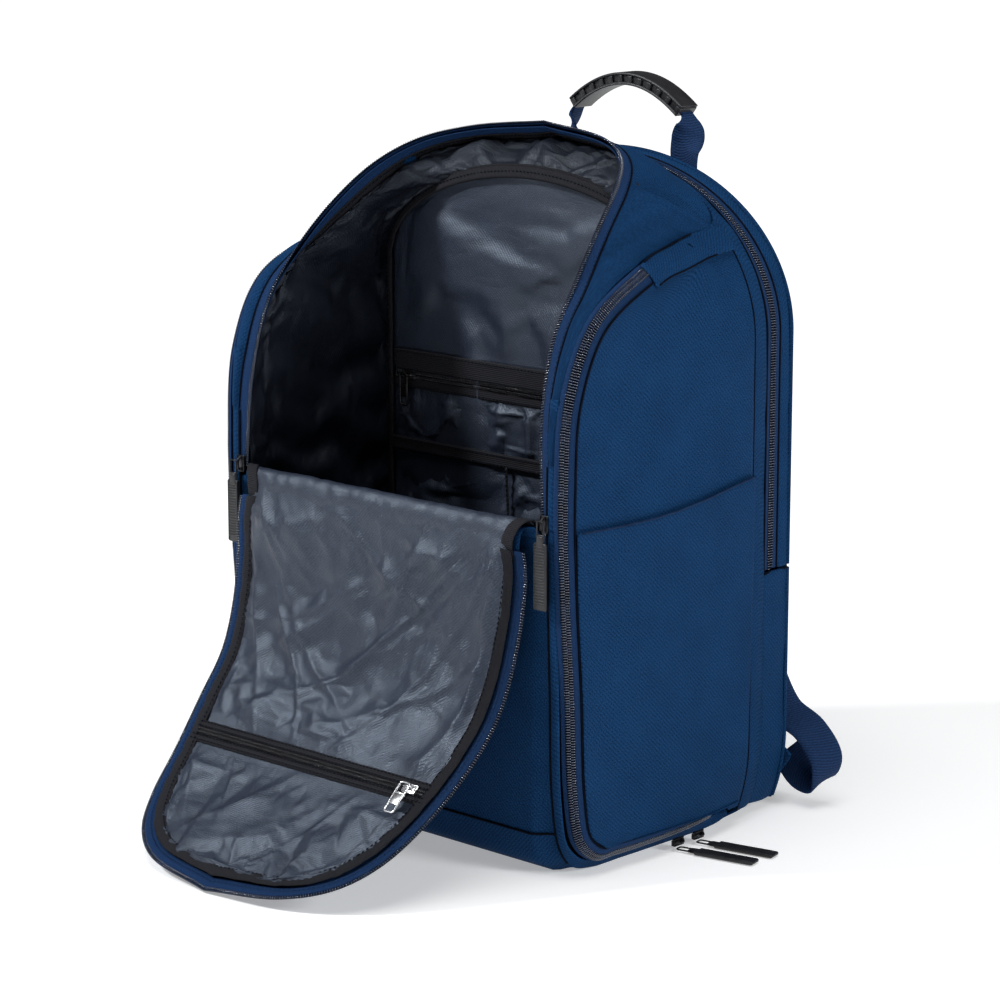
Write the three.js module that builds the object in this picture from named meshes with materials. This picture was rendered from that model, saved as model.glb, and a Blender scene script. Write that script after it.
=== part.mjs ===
// Racket backpack with a fold-down front flap, two side pods and a rear clamshell compartment.
// Millimetres, +Z up, -Y is the bag's front, +X its left-hand side pod seen from behind.
// The origin is the middle of the flat underside of the base panel.
import * as THREE from 'three';
import { mergeVertices } from 'three/addons/utils/BufferGeometryUtils.js';

// ---- driving dimensions ----
const BODY_HEIGHT = 505;          // floor to the top of the main opening
const CORE_HALF = 150;            // half width of the main compartment
const POD_DEPTH = 22;             // how far each side pod stands out from the core
const FRONT_Y = -115;             // plane of the lower front panel
const SEAM_Y = 85;                // seam between the pods and the rear gusset
const REAR_ZIP_Y = 112;           // line of the rear compartment's zip
const BACK_Y = 135;               // plane of the back panel
const DIVIDER_Y = 32;             // front face of the main compartment's back wall
const CLOTH = 2;                  // lined fabric thickness
const GAP = 0.35;                 // clearance between pieces that touch
const ZIP_HALF = 4.2;             // visible width of one zip half
const ZIP_THICK = 2.2;

// ---- derived levels ----
const SHELL_HALF = CORE_HALF + POD_DEPTH;
const PANEL_HALF = CORE_HALF + ZIP_HALF + 0.4;   // half width of the front and base panels
const HINGE_Y = FRONT_Y - 4.4;    // axis of the front flap's fold
const HINGE_Z = 250;
const FLAP_OPEN_DEG = 178;
const DOOR_Z = 184;               // seam where the rear compartment's cover folds
const SHOULDER_Z = 358;           // where the rear arch starts to round over
const SEAM_ARCH = { half: 169, crown: 486 };
const ZIP_ARCH = { half: 164, crown: 479 };
const BACK_ARCH = { half: 163, crown: 480 };
const FOOT_Z = 8;
const ARCH_SIDE_SHARE = 0.55;     // share of each half of the rear arch that is its straight side

// Right half of the main opening's rim, from the flap's fold to the crown.
const RIM_HALF = [
  [CORE_HALF, FRONT_Y, 248], [145, FRONT_Y + 4, 325], [142, -96, 378], [139, -71, 412],
  [131, -40, 445], [119, -7, 472], [100, 18, 488], [66, 38, 498], [0, 47, BODY_HEIGHT],
];
// Front and top edge of a side pod's door in the Y-Z plane, from its lower corner upwards.
const POD_EDGE = [
  [-80, 10], [-99, 26], [-107, 60], [-111, 133], [-116, 204], [-118, 274], [-112, 341],
  [-84, 392], [-14, 423], [50, 433],
];
// Rear edge of a pod's door, matched to POD_EDGE from bottom to top.
const POD_REAR = [
  [76, 10], [78, 30], [80, 64], [82, 133], [83, 212], [83, 288], [81, 346], [77, 382],
  [71, 412], [62, 432],
];

const COLOURS = {
  shell: [0x14305a, 0.85, 0], lining: [0x22242b, 0.5, 0], tape: [0x101218, 0.8, 0],
  webbing: [0x16294f, 0.8, 0], foam: [0x1a2a48, 0.9, 0], rubber: [0x141416, 0.6, 0],
  metal: [0x2a2b2e, 0.35, 0.8], silver: [0xb9bbbf, 0.3, 0.9], board: [0x2b2b2b, 0.7, 0],
};

const model = new THREE.Group();
const point = (x, y, z) => new THREE.Vector3(x, y, z);
const lerp = THREE.MathUtils.lerp;
const clamp01 = (value) => THREE.MathUtils.clamp(value, 0, 1);
const range = (count, from = 0, to = 1) =>
  Array.from({ length: count + 1 }, (_, i) => lerp(from, to, i / count));

function addMesh(parent, name, geometry, colour) {
  const [color, roughness, metalness] = COLOURS[colour];
  const material = new THREE.MeshStandardMaterial({ color, roughness, metalness });
  const mesh = new THREE.Mesh(geometry, material);
  mesh.name = name;
  parent.add(mesh);
  return mesh;
}

// ---- geometry helpers ----
function closedGeometry(vertices, triangles) {
  let volume = 0;
  for (const [a, b, c] of triangles) {
    volume += vertices[a].dot(point(0, 0, 0).crossVectors(vertices[b], vertices[c]));
  }
  const index = triangles.flatMap(([a, b, c]) => (volume < 0 ? [a, c, b] : [a, b, c]));
  const geometry = new THREE.BufferGeometry();
  geometry.setAttribute('position',
    new THREE.Float32BufferAttribute(vertices.flatMap((v) => v.toArray()), 3));
  geometry.setIndex(index);
  return geometry;
}

// A sheet with thickness: surface(u, v) is its outer face, and `inward` points at its inner side.
function sheet(surface, us, vs, thickness, inward) {
  const step = 1e-3;
  const outer = [];
  const inner = [];
  for (const v of vs) {
    for (const u of us) {
      const p = surface(u, v);
      const du = surface(u + step, v).sub(surface(u - step, v));
      const dv = surface(u, v + step).sub(surface(u, v - step));
      const normal = du.cross(dv).normalize();
      if (normal.dot(inward(p)) < 0) normal.negate();
      outer.push(p);
      inner.push(p.clone().addScaledVector(normal, thickness));
    }
  }
  return gridSolid(outer, inner, us.length, vs.length);
}

function gridSolid(outer, inner, columns, rows) {
  const base = outer.length;
  const triangles = [];
  const quad = (a, b, c, d) => triangles.push([a, b, c], [a, c, d]);
  for (let j = 0; j + 1 < rows; j += 1) {
    for (let i = 0; i + 1 < columns; i += 1) {
      const a = j * columns + i;
      quad(a, a + 1, a + columns + 1, a + columns);
      quad(base + a, base + a + columns, base + a + columns + 1, base + a + 1);
    }
  }
  for (let i = 0; i + 1 < columns; i += 1) {
    const top = (rows - 1) * columns + i;
    quad(i, base + i, base + i + 1, i + 1);
    quad(top, top + 1, base + top + 1, base + top);
  }
  for (let j = 0; j + 1 < rows; j += 1) {
    const left = j * columns;
    const right = left + columns - 1;
    quad(left, left + columns, base + left + columns, base + left);
    quad(right, base + right, base + right + columns, right + columns);
  }
  return closedGeometry([...outer, ...inner], triangles);
}

// A flat plate cut to an outline in one of the main planes. `from` and `to` are its two faces.
function plate(outline, plane, from, to, holes = []) {
  const shape = new THREE.Shape(outline.map(([a, b]) => new THREE.Vector2(a, b)));
  for (const hole of holes) {
    shape.holes.push(new THREE.Path(hole.map(([a, b]) => new THREE.Vector2(a, b))));
  }
  const geometry = new THREE.ExtrudeGeometry(shape, { depth: to - from, bevelEnabled: false });
  const basis = new THREE.Matrix4();
  if (plane === 'xz') basis.makeBasis(point(1, 0, 0), point(0, 0, 1), point(0, -1, 0));
  if (plane === 'yz') basis.makeBasis(point(0, 1, 0), point(0, 0, 1), point(1, 0, 0));
  geometry.applyMatrix4(basis);
  if (plane === 'xz') geometry.translate(0, to, 0);
  if (plane === 'yz') geometry.translate(from, 0, 0);
  if (plane === 'xy') geometry.translate(0, 0, from);
  geometry.deleteAttribute('normal');
  geometry.deleteAttribute('uv');
  return mergeVertices(geometry, 1e-3);
}

function mirrored(geometry) {
  const copy = geometry.clone();
  const position = copy.getAttribute('position');
  for (let i = 0; i < position.count; i += 1) position.setX(i, -position.getX(i));
  const index = Array.from(copy.index.array);
  for (let i = 0; i < index.length; i += 3) [index[i], index[i + 1]] = [index[i + 1], index[i]];
  copy.setIndex(index);
  return copy;
}

function addPair(parentRight, parentLeft, name, geometry, colour) {
  addMesh(parentRight, `${name}_right`, geometry, colour);
  addMesh(parentLeft, `${name}_left`, mirrored(geometry), colour);
}

function roundedRect(width, height, radius, centre = [0, 0], steps = 4) {
  const points = [];
  const corners = [[1, 1, 0], [-1, 1, 90], [-1, -1, 180], [1, -1, 270]];
  for (const [sx, sy, start] of corners) {
    for (const t of range(steps)) {
      const angle = THREE.MathUtils.degToRad(start + 90 * t);
      points.push([
        centre[0] + sx * (width / 2 - radius) + radius * Math.cos(angle),
        centre[1] + sy * (height / 2 - radius) + radius * Math.sin(angle),
      ]);
    }
  }
  return points;
}

// ---- curves of the bag ----
const rimRight = new THREE.CatmullRomCurve3(RIM_HALF.map((p) => point(...p)), false, 'centripetal');
const podEdge = new THREE.CatmullRomCurve3(POD_EDGE.map(([y, z]) => point(0, y, z)));
const podRear = new THREE.CatmullRomCurve3(POD_REAR.map(([y, z]) => point(0, y, z)));

// The rim runs from the left fold (t = 0) over the crown (t = 0.5) to the right fold (t = 1).
function rim(t) {
  const side = t < 0.5 ? -1 : 1;
  const p = rimRight.getPoint(clamp01(1 - Math.abs(2 * t - 1)));
  return point(p.x * side, p.y, p.z);
}

// The rear arch at one depth, from the left foot (v = 0) over the crown to the right foot (v = 1).
function arch(v, { half, crown }, y) {
  const footTuck = 14;
  const tuckHeight = 60;
  const s = clamp01(1 - Math.abs(2 * v - 1));
  const side = v < 0.5 ? -1 : 1;
  if (s < ARCH_SIDE_SHARE) {
    const z = lerp(FOOT_Z, SHOULDER_Z, s / ARCH_SIDE_SHARE);
    const tuck = footTuck * clamp01(1 - z / tuckHeight) ** 2;
    return point(side * (half - tuck), y, z);
  }
  const angle = ((s - ARCH_SIDE_SHARE) / (1 - ARCH_SIDE_SHARE)) * (Math.PI / 2);
  return point(side * half * Math.cos(angle), y, SHOULDER_Z + (crown - SHOULDER_Z) * Math.sin(angle));
}

function archAt(y) {
  const t = clamp01((y - SEAM_Y) / (REAR_ZIP_Y - SEAM_Y));
  const s = clamp01((y - REAR_ZIP_Y) / (BACK_Y - REAR_ZIP_Y));
  const blend = (key) => lerp(lerp(SEAM_ARCH[key], ZIP_ARCH[key], t), BACK_ARCH[key], s);
  return { half: blend('half'), crown: blend('crown') };
}

// Outer face of a side pod: flat below, leaning in towards the bag's crown above.
function podFace(y, z) {
  const leanDepth = 28;
  const rise = clamp01((z - 348) / 85) ** 2;
  const rearward = clamp01((y + 100) / 150);
  return SHELL_HALF - leanDepth * rise * rearward;
}

const towards = (x, y, z) => (p) => point(x, y, z).sub(p);
const towardsCore = towards(0, -20, 200);

// ---- base and walls of the main compartment ----
function buildBase() {
  const front = FRONT_Y - 1;
  const profile = new THREE.CatmullRomCurve3([
    point(0, front, 32), point(0, front + 5, 12), point(0, front + 24, 0),
  ]);
  const stations = [...range(5).map((t) => profile.getPoint(t)), point(0, SEAM_Y + 20, 0),
    point(0, BACK_Y - 3, 0)];
  const columns = [-PANEL_HALF, PANEL_HALF];
  const outer = stations.flatMap((p) => columns.map((x) => point(x, p.y, p.z)));
  const inner = stations.flatMap((p, j) => {
    const lift = clamp01(j / 5);
    return columns.map((x) => point(x, p.y + CLOTH * (1 - lift), p.z + CLOTH * lift));
  });
  addMesh(model, 'base_panel', gridSolid(outer, inner, columns.length, stations.length), 'shell');
  const boardDepth = DIVIDER_Y - FRONT_Y - 42;
  const board = roundedRect(2 * CORE_HALF - 14, boardDepth, 12, [0, (DIVIDER_Y + FRONT_Y) / 2 + 6]);
  addMesh(model, 'base_board', plate(board, 'xy', CLOTH + GAP, CLOTH + GAP + 2), 'board');
}

function buildFrontPanel() {
  const bottom = 33;
  const top = HINGE_Z - 5;
  const bulge = 1.5;
  const surface = (u, v) => point(lerp(-1, 1, u) * PANEL_HALF,
    FRONT_Y - 1 - bulge * Math.sin(Math.PI * v) * Math.sin(Math.PI * u), lerp(bottom, top, v));
  const solid = sheet(surface, range(4), range(4), CLOTH, towards(0, 0, 120));
  addMesh(model, 'front_panel', solid, 'shell');
}

function buildSideWalls() {
  const outline = [
    [FRONT_Y + 6, 42], [FRONT_Y + 12, 22], [FRONT_Y + 27, 4], [SEAM_Y - 3, 4],
    [SEAM_Y - 3, 390], [45, 412], [-28, 414], [-74, 366], [FRONT_Y + 10, 322],
  ];
  const wall = plate(outline, 'yz', CORE_HALF - 2, CORE_HALF - GAP);
  addPair(model, model, 'side_wall', wall, 'lining');
}

const DIVIDER = { half: 146, spring: 396, rise: 76 };

function dividerOutline(inset, bottom) {
  const top = range(12).map((t) => [
    (DIVIDER.half - inset) * Math.cos(Math.PI * t),
    DIVIDER.spring + (DIVIDER.rise - inset) * Math.sin(Math.PI * t),
  ]);
  return [[DIVIDER.half - inset, bottom], ...top, [-DIVIDER.half + inset, bottom]];
}

function buildDivider() {
  addMesh(model, 'divider', plate(dividerOutline(0, 5), 'xz', DIVIDER_Y, DIVIDER_Y + 2.4), 'lining');
}

// ---- gussets ----
// Outer edge of the main gusset: along the pod's zip, across the pod's top, then over the crown.
const gussetOuterRight = new THREE.CatmullRomCurve3([
  ...[[-118, 250], [-112, 341], [-84, 392], [-14, 423], [40, 431]].map(
    ([y, z]) => point(podFace(y, z) - 3.2, y, z + 1)),
  point(136, SEAM_Y - 8, 438), point(104, SEAM_Y - 6, 464), point(0, SEAM_Y - 6, 487),
], false, 'centripetal');

function gussetOuter(t) {
  const side = t < 0.5 ? -1 : 1;
  const p = gussetOuterRight.getPoint(clamp01(1 - Math.abs(2 * t - 1)));
  return point(p.x * side, p.y, p.z);
}

function buildMainGusset() {
  const foldShare = 1 / 12;
  const surface = (u, t) => {
    const inner = rim(t);
    const outer = gussetOuter(t);
    const start = (ZIP_HALF + 0.8) / inner.distanceTo(outer);
    return inner.lerp(outer, lerp(start, 1, u));
  };
  const over = range(28, foldShare, 1 - foldShare);
  addMesh(model, 'gusset_top', sheet(surface, range(3), over, CLOTH, towardsCore), 'shell');
  // Each side strip runs along the floor, up the front and ends at the crown piece's seam.
  const seam = rim(1 - foldShare).z - 1;
  const path = [
    [SEAM_Y - 8, 0.2], [-70, 0.2], [-92, 6], [-104, 24], [-110, 60], [-112, 133], [-115, 204],
    [-115.4, 274], [-115, seam],
  ];
  const inner = PANEL_HALF + 0.7;
  const outer = SHELL_HALF - 2.8;
  const strip = (u, v) => {
    const at = v * (path.length - 1);
    const k = Math.min(Math.floor(at), path.length - 2);
    const [y, z] = [0, 1].map((axis) => lerp(path[Math.max(k, 0)][axis], path[k + 1][axis], at - k));
    return point(lerp(inner, outer, u), y, z);
  };
  const stations = range(path.length - 1).map((v) => clamp01(v));
  const side = sheet(strip, range(1), stations, CLOTH, towards(160, 0, 150));
  addPair(model, model, 'pod_gusset', side, 'shell');
}

function buildRearGusset() {
  const band = (from, to) => (u, v) => {
    const y = lerp(from, to, u);
    return arch(v, archAt(y), y);
  };
  const fixed = sheet(band(SEAM_Y + 1, REAR_ZIP_Y - 0.2), range(2), range(36), CLOTH, towards(0, 95, 200));
  addMesh(model, 'rear_gusset', fixed, 'shell');
  const foot = (DOOR_Z - FOOT_Z) / (SHOULDER_Z - FOOT_Z) * ARCH_SIDE_SHARE / 2;
  const belowDoor = range(5, 1, 1 - foot + 0.002);
  const lower = sheet(band(REAR_ZIP_Y + 0.2, BACK_Y - 3), range(1), belowDoor, CLOTH,
    towards(0, 120, 100));
  addPair(model, model, 'rear_gusset_lower', lower, 'shell');
  return { band, foot };
}

// ---- zips that stay on the shell ----
function buildMainZip() {
  const surface = (u, t) => {
    const edge = rim(t);
    const across = gussetOuter(t).sub(edge).normalize();
    return edge.addScaledVector(across, lerp(0.3, ZIP_HALF, u));
  };
  const solid = sheet(surface, range(1), range(48, 0.004, 0.996), ZIP_THICK, towardsCore);
  addMesh(model, 'main_zip_rim', solid, 'tape');
}

buildBase();
buildFrontPanel();
buildSideWalls();
buildDivider();
buildMainGusset();
const rearGusset = buildRearGusset();
buildMainZip();

// ---- pockets on the divider ----
const POCKET = { top: 325, zip: 306, hem: 257, half: 138 };

function buildDividerPockets() {
  const face = DIVIDER_Y - GAP;
  const band = [[-POCKET.half, POCKET.zip - 3.6], [POCKET.half, POCKET.zip - 3.6],
    [POCKET.half, POCKET.top], [-POCKET.half, POCKET.top]];
  addMesh(model, 'divider_pocket_zip', plate(band, 'xz', face - 2, face), 'tape');
  const lower = [[-POCKET.half, POCKET.hem + 4], [POCKET.half, POCKET.hem + 4],
    [POCKET.half, POCKET.zip - 4], [-POCKET.half, POCKET.zip - 4]];
  addMesh(model, 'divider_zip_pocket', plate(lower, 'xz', face - 1.4, face), 'lining');
  const hem = [[-POCKET.half, 130], [POCKET.half, 130], [POCKET.half, POCKET.hem],
    [-POCKET.half, POCKET.hem]];
  addMesh(model, 'divider_slip_pocket', plate(hem, 'xz', face - 1.4, face), 'lining');
}

// ---- zip sliders and pulls ----
// Side profile of a slider's upper half, extruded across: a plate with a bridge for the pull.
const SLIDER_PROFILE = [
  [-6, 0], [6, 0], [6, 1.3], [3.2, 1.7], [2, 3.8], [-2, 3.8], [-3.2, 1.7], [-6, 1.3],
];

function sliderGeometry(width) {
  return plate(SLIDER_PROFILE, 'xy', -width / 2, width / 2);
}

// A pull lies along -X from its pivot, with its width along Y and its thickness along Z.
function pullGeometry(length, width, thickness) {
  const outline = roundedRect(length, width, width * 0.3, [3 - length / 2, 0], 3);
  const hole = roundedRect(5, width * 0.45, 1.2, [-1.5, 0], 1).reverse();
  return plate(outline, 'xy', -thickness / 2, thickness / 2, [hole]);
}

// Turns a small part so that its X axis lies along `along` and its Y axis along `side`.
function place(mesh, position, along, side) {
  const third = point(0, 0, 0).crossVectors(along, side);
  mesh.quaternion.setFromRotationMatrix(new THREE.Matrix4().makeBasis(along, side, third));
  mesh.position.copy(position);
}

const RIGHT = point(1, 0, 0);
const LEFT = point(-1, 0, 0);
const FRONT = point(0, -1, 0);
const REAR = point(0, 1, 0);
const UP = point(0, 0, 1);

const SLIDER_WIDTH = 7;
const PIVOT_HEIGHT = 7.2;         // from a slider's seat to the pivot of its pull
const PULL = { length: 62, width: 11, thickness: 2.8 };

function buildMainSliders() {
  const z = 254;
  const face = FRONT_Y - 1;
  for (const [side, sign] of [['right', 1], ['left', -1]]) {
    const x = sign * (CORE_HALF + 3);
    const slider = addMesh(model, `main_slider_${side}`, sliderGeometry(SLIDER_WIDTH), 'metal');
    place(slider, point(x, face, z), UP, FRONT);
    const pull = addMesh(model, `main_pull_${side}`,
      pullGeometry(PULL.length, PULL.width, PULL.thickness), 'rubber');
    place(pull, point(sign * (CORE_HALF + 5), face - PIVOT_HEIGHT, z), UP, RIGHT);
  }
}

function buildDividerSlider() {
  const x = -POCKET.half + 16;
  const face = DIVIDER_Y - GAP - 2 - GAP;
  const slider = addMesh(model, 'divider_slider', sliderGeometry(6), 'metal');
  place(slider, point(x, face, POCKET.zip), RIGHT, FRONT);
  const pull = addMesh(model, 'divider_pull', pullGeometry(24, 6, 1.6), 'metal');
  place(pull, point(x, face - PIVOT_HEIGHT, POCKET.zip), UP, RIGHT);
}

// ---- front flap, drawn closed and then folded down about its hinge line ----
const FLAP_SAMPLES = 240;
const flapProfile = [];
for (const t of range(FLAP_SAMPLES)) {
  const p = rimRight.getPoint(t);
  const last = flapProfile[flapProfile.length - 1];
  const length = last ? last.length + Math.hypot(p.y - last.y, p.z - last.z) : 0;
  flapProfile.push({ x: p.x, y: p.y, z: p.z, length });
}

// A point of the flap's outer face, from its sideways place and its distance up from the rim's foot.
function flapPoint(x, length) {
  let k = flapProfile.findIndex((sample) => sample.length > length);
  if (k < 1) k = FLAP_SAMPLES;
  const [a, b] = [flapProfile[k - 1], flapProfile[k]];
  const t = (length - a.length) / Math.max(b.length - a.length, 1e-6);
  return point(x, lerp(a.y, b.y, t), lerp(a.z, b.z, t));
}

// The flap's edge, set in from the rim by `inset`, as [x, length]. It tucks in towards the fold.
function flapEdge(t, inset) {
  const at = clamp01(1 - Math.abs(2 * t - 1)) * FLAP_SAMPLES;
  const k = Math.min(Math.floor(at), FLAP_SAMPLES - 1);
  const [a, b] = [flapProfile[k], flapProfile[k + 1]];
  const [dx, dl] = [b.x - a.x, b.length - a.length];
  const scale = inset / Math.hypot(dx, dl);
  const length = lerp(a.length, b.length, at - k) + dx * scale;
  const foldTuck = 13 * clamp01(1 - length / 45) ** 2;
  const rimX = lerp(a.x, b.x, at - k);
  const crownEase = clamp01(rimX / 30);
  const x = rimX - dl * scale * crownEase - foldTuck;
  return [t < 0.5 ? -x : x, length];
}

// The same point moved into the bag by `depth`, square to the flap's face.
function flapInside(x, length, depth) {
  const step = 0.5;
  const along = flapPoint(x, length + step).sub(flapPoint(x, length - step));
  const normal = point(0, 0, 0).crossVectors(along, RIGHT).normalize();
  return flapPoint(x, length).addScaledVector(normal, depth);
}

const flapInward = () => point(0, 1, -0.6);

function flapLayer(inset, depth, from, to, rows, columns, thickness) {
  const surface = (u, v) => {
    const [x, length] = flapEdge(v, inset);
    return flapInside(Math.abs(x) * lerp(-1, 1, u), length, depth);
  };
  return sheet(surface, range(columns), range(rows, from, to), thickness, flapInward);
}

const FLAP = { start: 0.985, tip: 0.515, pocketZip: 0.77 };

function buildFlap() {
  const hinge = new THREE.Group();
  hinge.position.set(0, HINGE_Y, HINGE_Z);
  hinge.rotation.x = THREE.MathUtils.degToRad(FLAP_OPEN_DEG);
  const flap = new THREE.Group();
  flap.position.set(0, -HINGE_Y, -HINGE_Z);
  hinge.add(flap);
  model.add(hinge);

  const { start, tip, pocketZip } = FLAP;
  addMesh(flap, 'front_flap', flapLayer(ZIP_HALF + 0.9, 0, start, tip, 16, 4, 1.6), 'shell');
  const liningDepth = 1.6 + GAP;
  addMesh(flap, 'flap_lining', flapLayer(ZIP_HALF + 0.9, liningDepth, start, tip, 16, 4, 1), 'lining');
  const upperDepth = liningDepth + 1 + GAP;
  const pocket = flapLayer(16, upperDepth, pocketZip - 0.02, tip + 0.03, 10, 4, 1);
  addMesh(flap, 'flap_pocket', pocket, 'lining');
  const zipBand = flapLayer(18, upperDepth, pocketZip + 0.014, pocketZip - 0.017, 1, 4, 1.8);
  addMesh(flap, 'flap_pocket_zip', zipBand, 'tape');

  const edgeBand = (near, far, depth) => (u, t) => {
    const [x, length] = flapEdge(t, lerp(near, far, u));
    return flapInside(x, length, depth);
  };
  const around = range(44, 1 - FLAP.start, FLAP.start);
  const zip = sheet(edgeBand(2.3, ZIP_HALF + 0.3, 0), range(1), around, ZIP_THICK, flapInward);
  addMesh(flap, 'flap_zip', zip, 'tape');
  const binding = sheet(edgeBand(6, 15, upperDepth + 0.8), range(1), around, 1.2, flapInward);
  addMesh(flap, 'flap_binding', binding, 'tape');

  const [edgeX, length] = flapEdge(pocketZip, 18);
  const at = flapPoint(edgeX - 14, length);
  const ahead = flapPoint(edgeX - 14, length + 1);
  const upwards = ahead.clone().sub(at).normalize();
  const inward = point(0, 0, 0).crossVectors(upwards, RIGHT).normalize();
  if (inward.dot(flapInward()) < 0) inward.negate();
  const seat = at.clone().addScaledVector(inward, upperDepth + 1.8 + GAP);
  const slider = addMesh(flap, 'flap_pocket_slider', sliderGeometry(6.5), 'silver');
  place(slider, seat, RIGHT, inward);
  const pull = addMesh(flap, 'flap_pocket_pull', pullGeometry(24, 7, 1.8), 'silver');
  const pivot = seat.clone().addScaledVector(inward, PIVOT_HEIGHT);
  place(pull, pivot, upwards.clone().negate(), RIGHT);
}

// ---- side pods ----
const POD_SLIDERS = [['front', 2], ['rear', 24]];
const POD_SLIDER_Z = 6.4;

function podDoorSurface(vTop, inset, proud) {
  return (u, v) => {
    const s = clamp01(v * vTop);
    const tangent = podEdge.getTangent(s);
    const front = podEdge.getPoint(s).add(point(0, tangent.z, -tangent.y).multiplyScalar(inset));
    const p = front.lerp(podRear.getPoint(s), u);
    const lift = 5.2 * clamp01(1 - v * vTop) ** 6;
    return point(podFace(p.y, p.z) + proud, p.y, p.z + lift);
  };
}

function buildPods() {
  const right = new THREE.Group();
  const left = new THREE.Group();
  model.add(right, left);
  const outward = towards(0, 0, 200);
  const door = sheet(podDoorSurface(0.985, 6.4, 0), range(5), range(16), CLOTH, outward);
  addPair(right, left, 'pod_door', door, 'shell');
  const hemShare = 0.51;
  const pocket = sheet(podDoorSurface(hemShare, 8.2, GAP + 1.4), range(4), range(9, 0.02, 1), 1.4, outward);
  addPair(right, left, 'pod_slip_pocket', pocket, 'shell');

  const zipPath = new THREE.CatmullRomCurve3(
    [[70, 10], [0, 10], [-60, 10], ...POD_EDGE.slice(0, -1)].map(([y, z]) => point(0, y, z)));
  const zipBand = (u, v) => {
    const p = zipPath.getPoint(clamp01(v));
    const tangent = zipPath.getTangent(clamp01(v));
    const inset = lerp(0.3, ZIP_HALF + 0.6, u);
    const y = p.y + tangent.z * inset;
    const z = p.z - tangent.y * inset;
    return point(podFace(y, z), y, z);
  };
  addPair(right, left, 'pod_zip', sheet(zipBand, range(1), range(40), ZIP_THICK - 0.2, outward), 'tape');

  for (const [end, y] of POD_SLIDERS) {
    for (const [side, sign, out] of [['right', 1, RIGHT], ['left', -1, LEFT]]) {
      const slider = addMesh(model, `pod_slider_${end}_${side}`, sliderGeometry(5), 'metal');
      place(slider, point(sign * (SHELL_HALF + 0.4), y, POD_SLIDER_Z), REAR, out);
      const pull = addMesh(model, `pod_pull_${end}_${side}`,
        pullGeometry(PULL.length, PULL.width, PULL.thickness), 'rubber');
      const outwards = point(sign * Math.sin(1.36), Math.cos(1.36), 0);
      const across = point(0, 0, 0).crossVectors(UP, outwards);
      place(pull, point(sign * (SHELL_HALF + 6), y, 2), outwards.negate(), across);
    }
  }
}

// ---- rear compartment's cover: the upper back panel with the harness and the handle ----
function archOutline(inset, from) {
  const rise = BACK_ARCH.crown - SHOULDER_Z - inset;
  const half = BACK_ARCH.half - inset;
  const top = range(16).map((t) => [half * Math.cos(Math.PI * t), SHOULDER_Z + rise * Math.sin(Math.PI * t)]);
  return [[half, from], ...top, [-half, from]];
}

function buildBackDoor({ band, foot }) {
  const door = new THREE.Group();
  model.add(door);
  const rearEdge = BACK_Y - 3;
  const inward = towards(0, 125, 220);
  const over = range(30, foot + 0.002, 1 - foot - 0.002);
  const zipDoor = sheet(band(REAR_ZIP_Y + 0.2, 117.6), range(1), over, ZIP_THICK, inward);
  addMesh(door, 'rear_zip_door', zipDoor, 'tape');
  const gusset = sheet(band(117.6 + GAP, rearEdge), range(1), over, CLOTH, inward);
  addMesh(door, 'rear_gusset_door', gusset, 'shell');
  const upper = plate(archOutline(1, DOOR_Z + 0.6), 'xz', rearEdge + GAP, BACK_Y);
  addMesh(door, 'back_panel', upper, 'shell');
  const lowerHalf = BACK_ARCH.half - 1;
  const tucked = lowerHalf - 12;
  const lower = plate([[tucked, 6], [lowerHalf - 5, 34], [lowerHalf, 66], [lowerHalf, DOOR_Z - 0.6],
    [-lowerHalf, DOOR_Z - 0.6], [-lowerHalf, 66], [-lowerHalf + 5, 34], [-tucked, 6]],
  'xz', rearEdge + GAP, BACK_Y);
  addMesh(model, 'back_panel_lower', lower, 'shell');

  const padOutline = [[90, 214], [112, 250], [112, 380], [88, 430], [40, 448], [-40, 448],
    [-88, 430], [-112, 380], [-112, 250], [-90, 214]];
  addMesh(door, 'back_pad', plate(padOutline, 'xz', BACK_Y + GAP, BACK_Y + 7), 'foam');

  const slider = addMesh(model, 'rear_slider', sliderGeometry(SLIDER_WIDTH), 'metal');
  const sliderZ = DOOR_Z + 18;
  place(slider, point(-ZIP_ARCH.half - 1.5, REAR_ZIP_Y, sliderZ), UP, LEFT);
  const pull = addMesh(model, 'rear_pull', pullGeometry(PULL.length, PULL.width, PULL.thickness), 'rubber');
  place(pull, point(-ZIP_ARCH.half - 1.5 - PIVOT_HEIGHT, REAR_ZIP_Y, sliderZ), UP, REAR);
  return door;
}

// A strap of constant width through `path`, with its width direction given at each station.
function strap(path, across, width, thickness, stations) {
  const route = new THREE.CatmullRomCurve3(path, false, 'centripetal');
  const turn = new THREE.CatmullRomCurve3(across, false, 'centripetal');
  const outer = [];
  const inner = [];
  for (const t of range(stations)) {
    const centre = route.getPoint(t);
    const side = turn.getPoint(t).normalize();
    const normal = point(0, 0, 0).crossVectors(route.getTangent(t), side).normalize();
    side.crossVectors(normal, route.getTangent(t)).normalize();
    for (const sign of [-1, 1]) {
      const edge = centre.clone().addScaledVector(side, (sign * width) / 2);
      outer.push(edge.clone().addScaledVector(normal, thickness / 2));
      inner.push(edge.clone().addScaledVector(normal, -thickness / 2));
    }
  }
  return gridSolid(outer, inner, 2, stations + 1);
}

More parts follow.
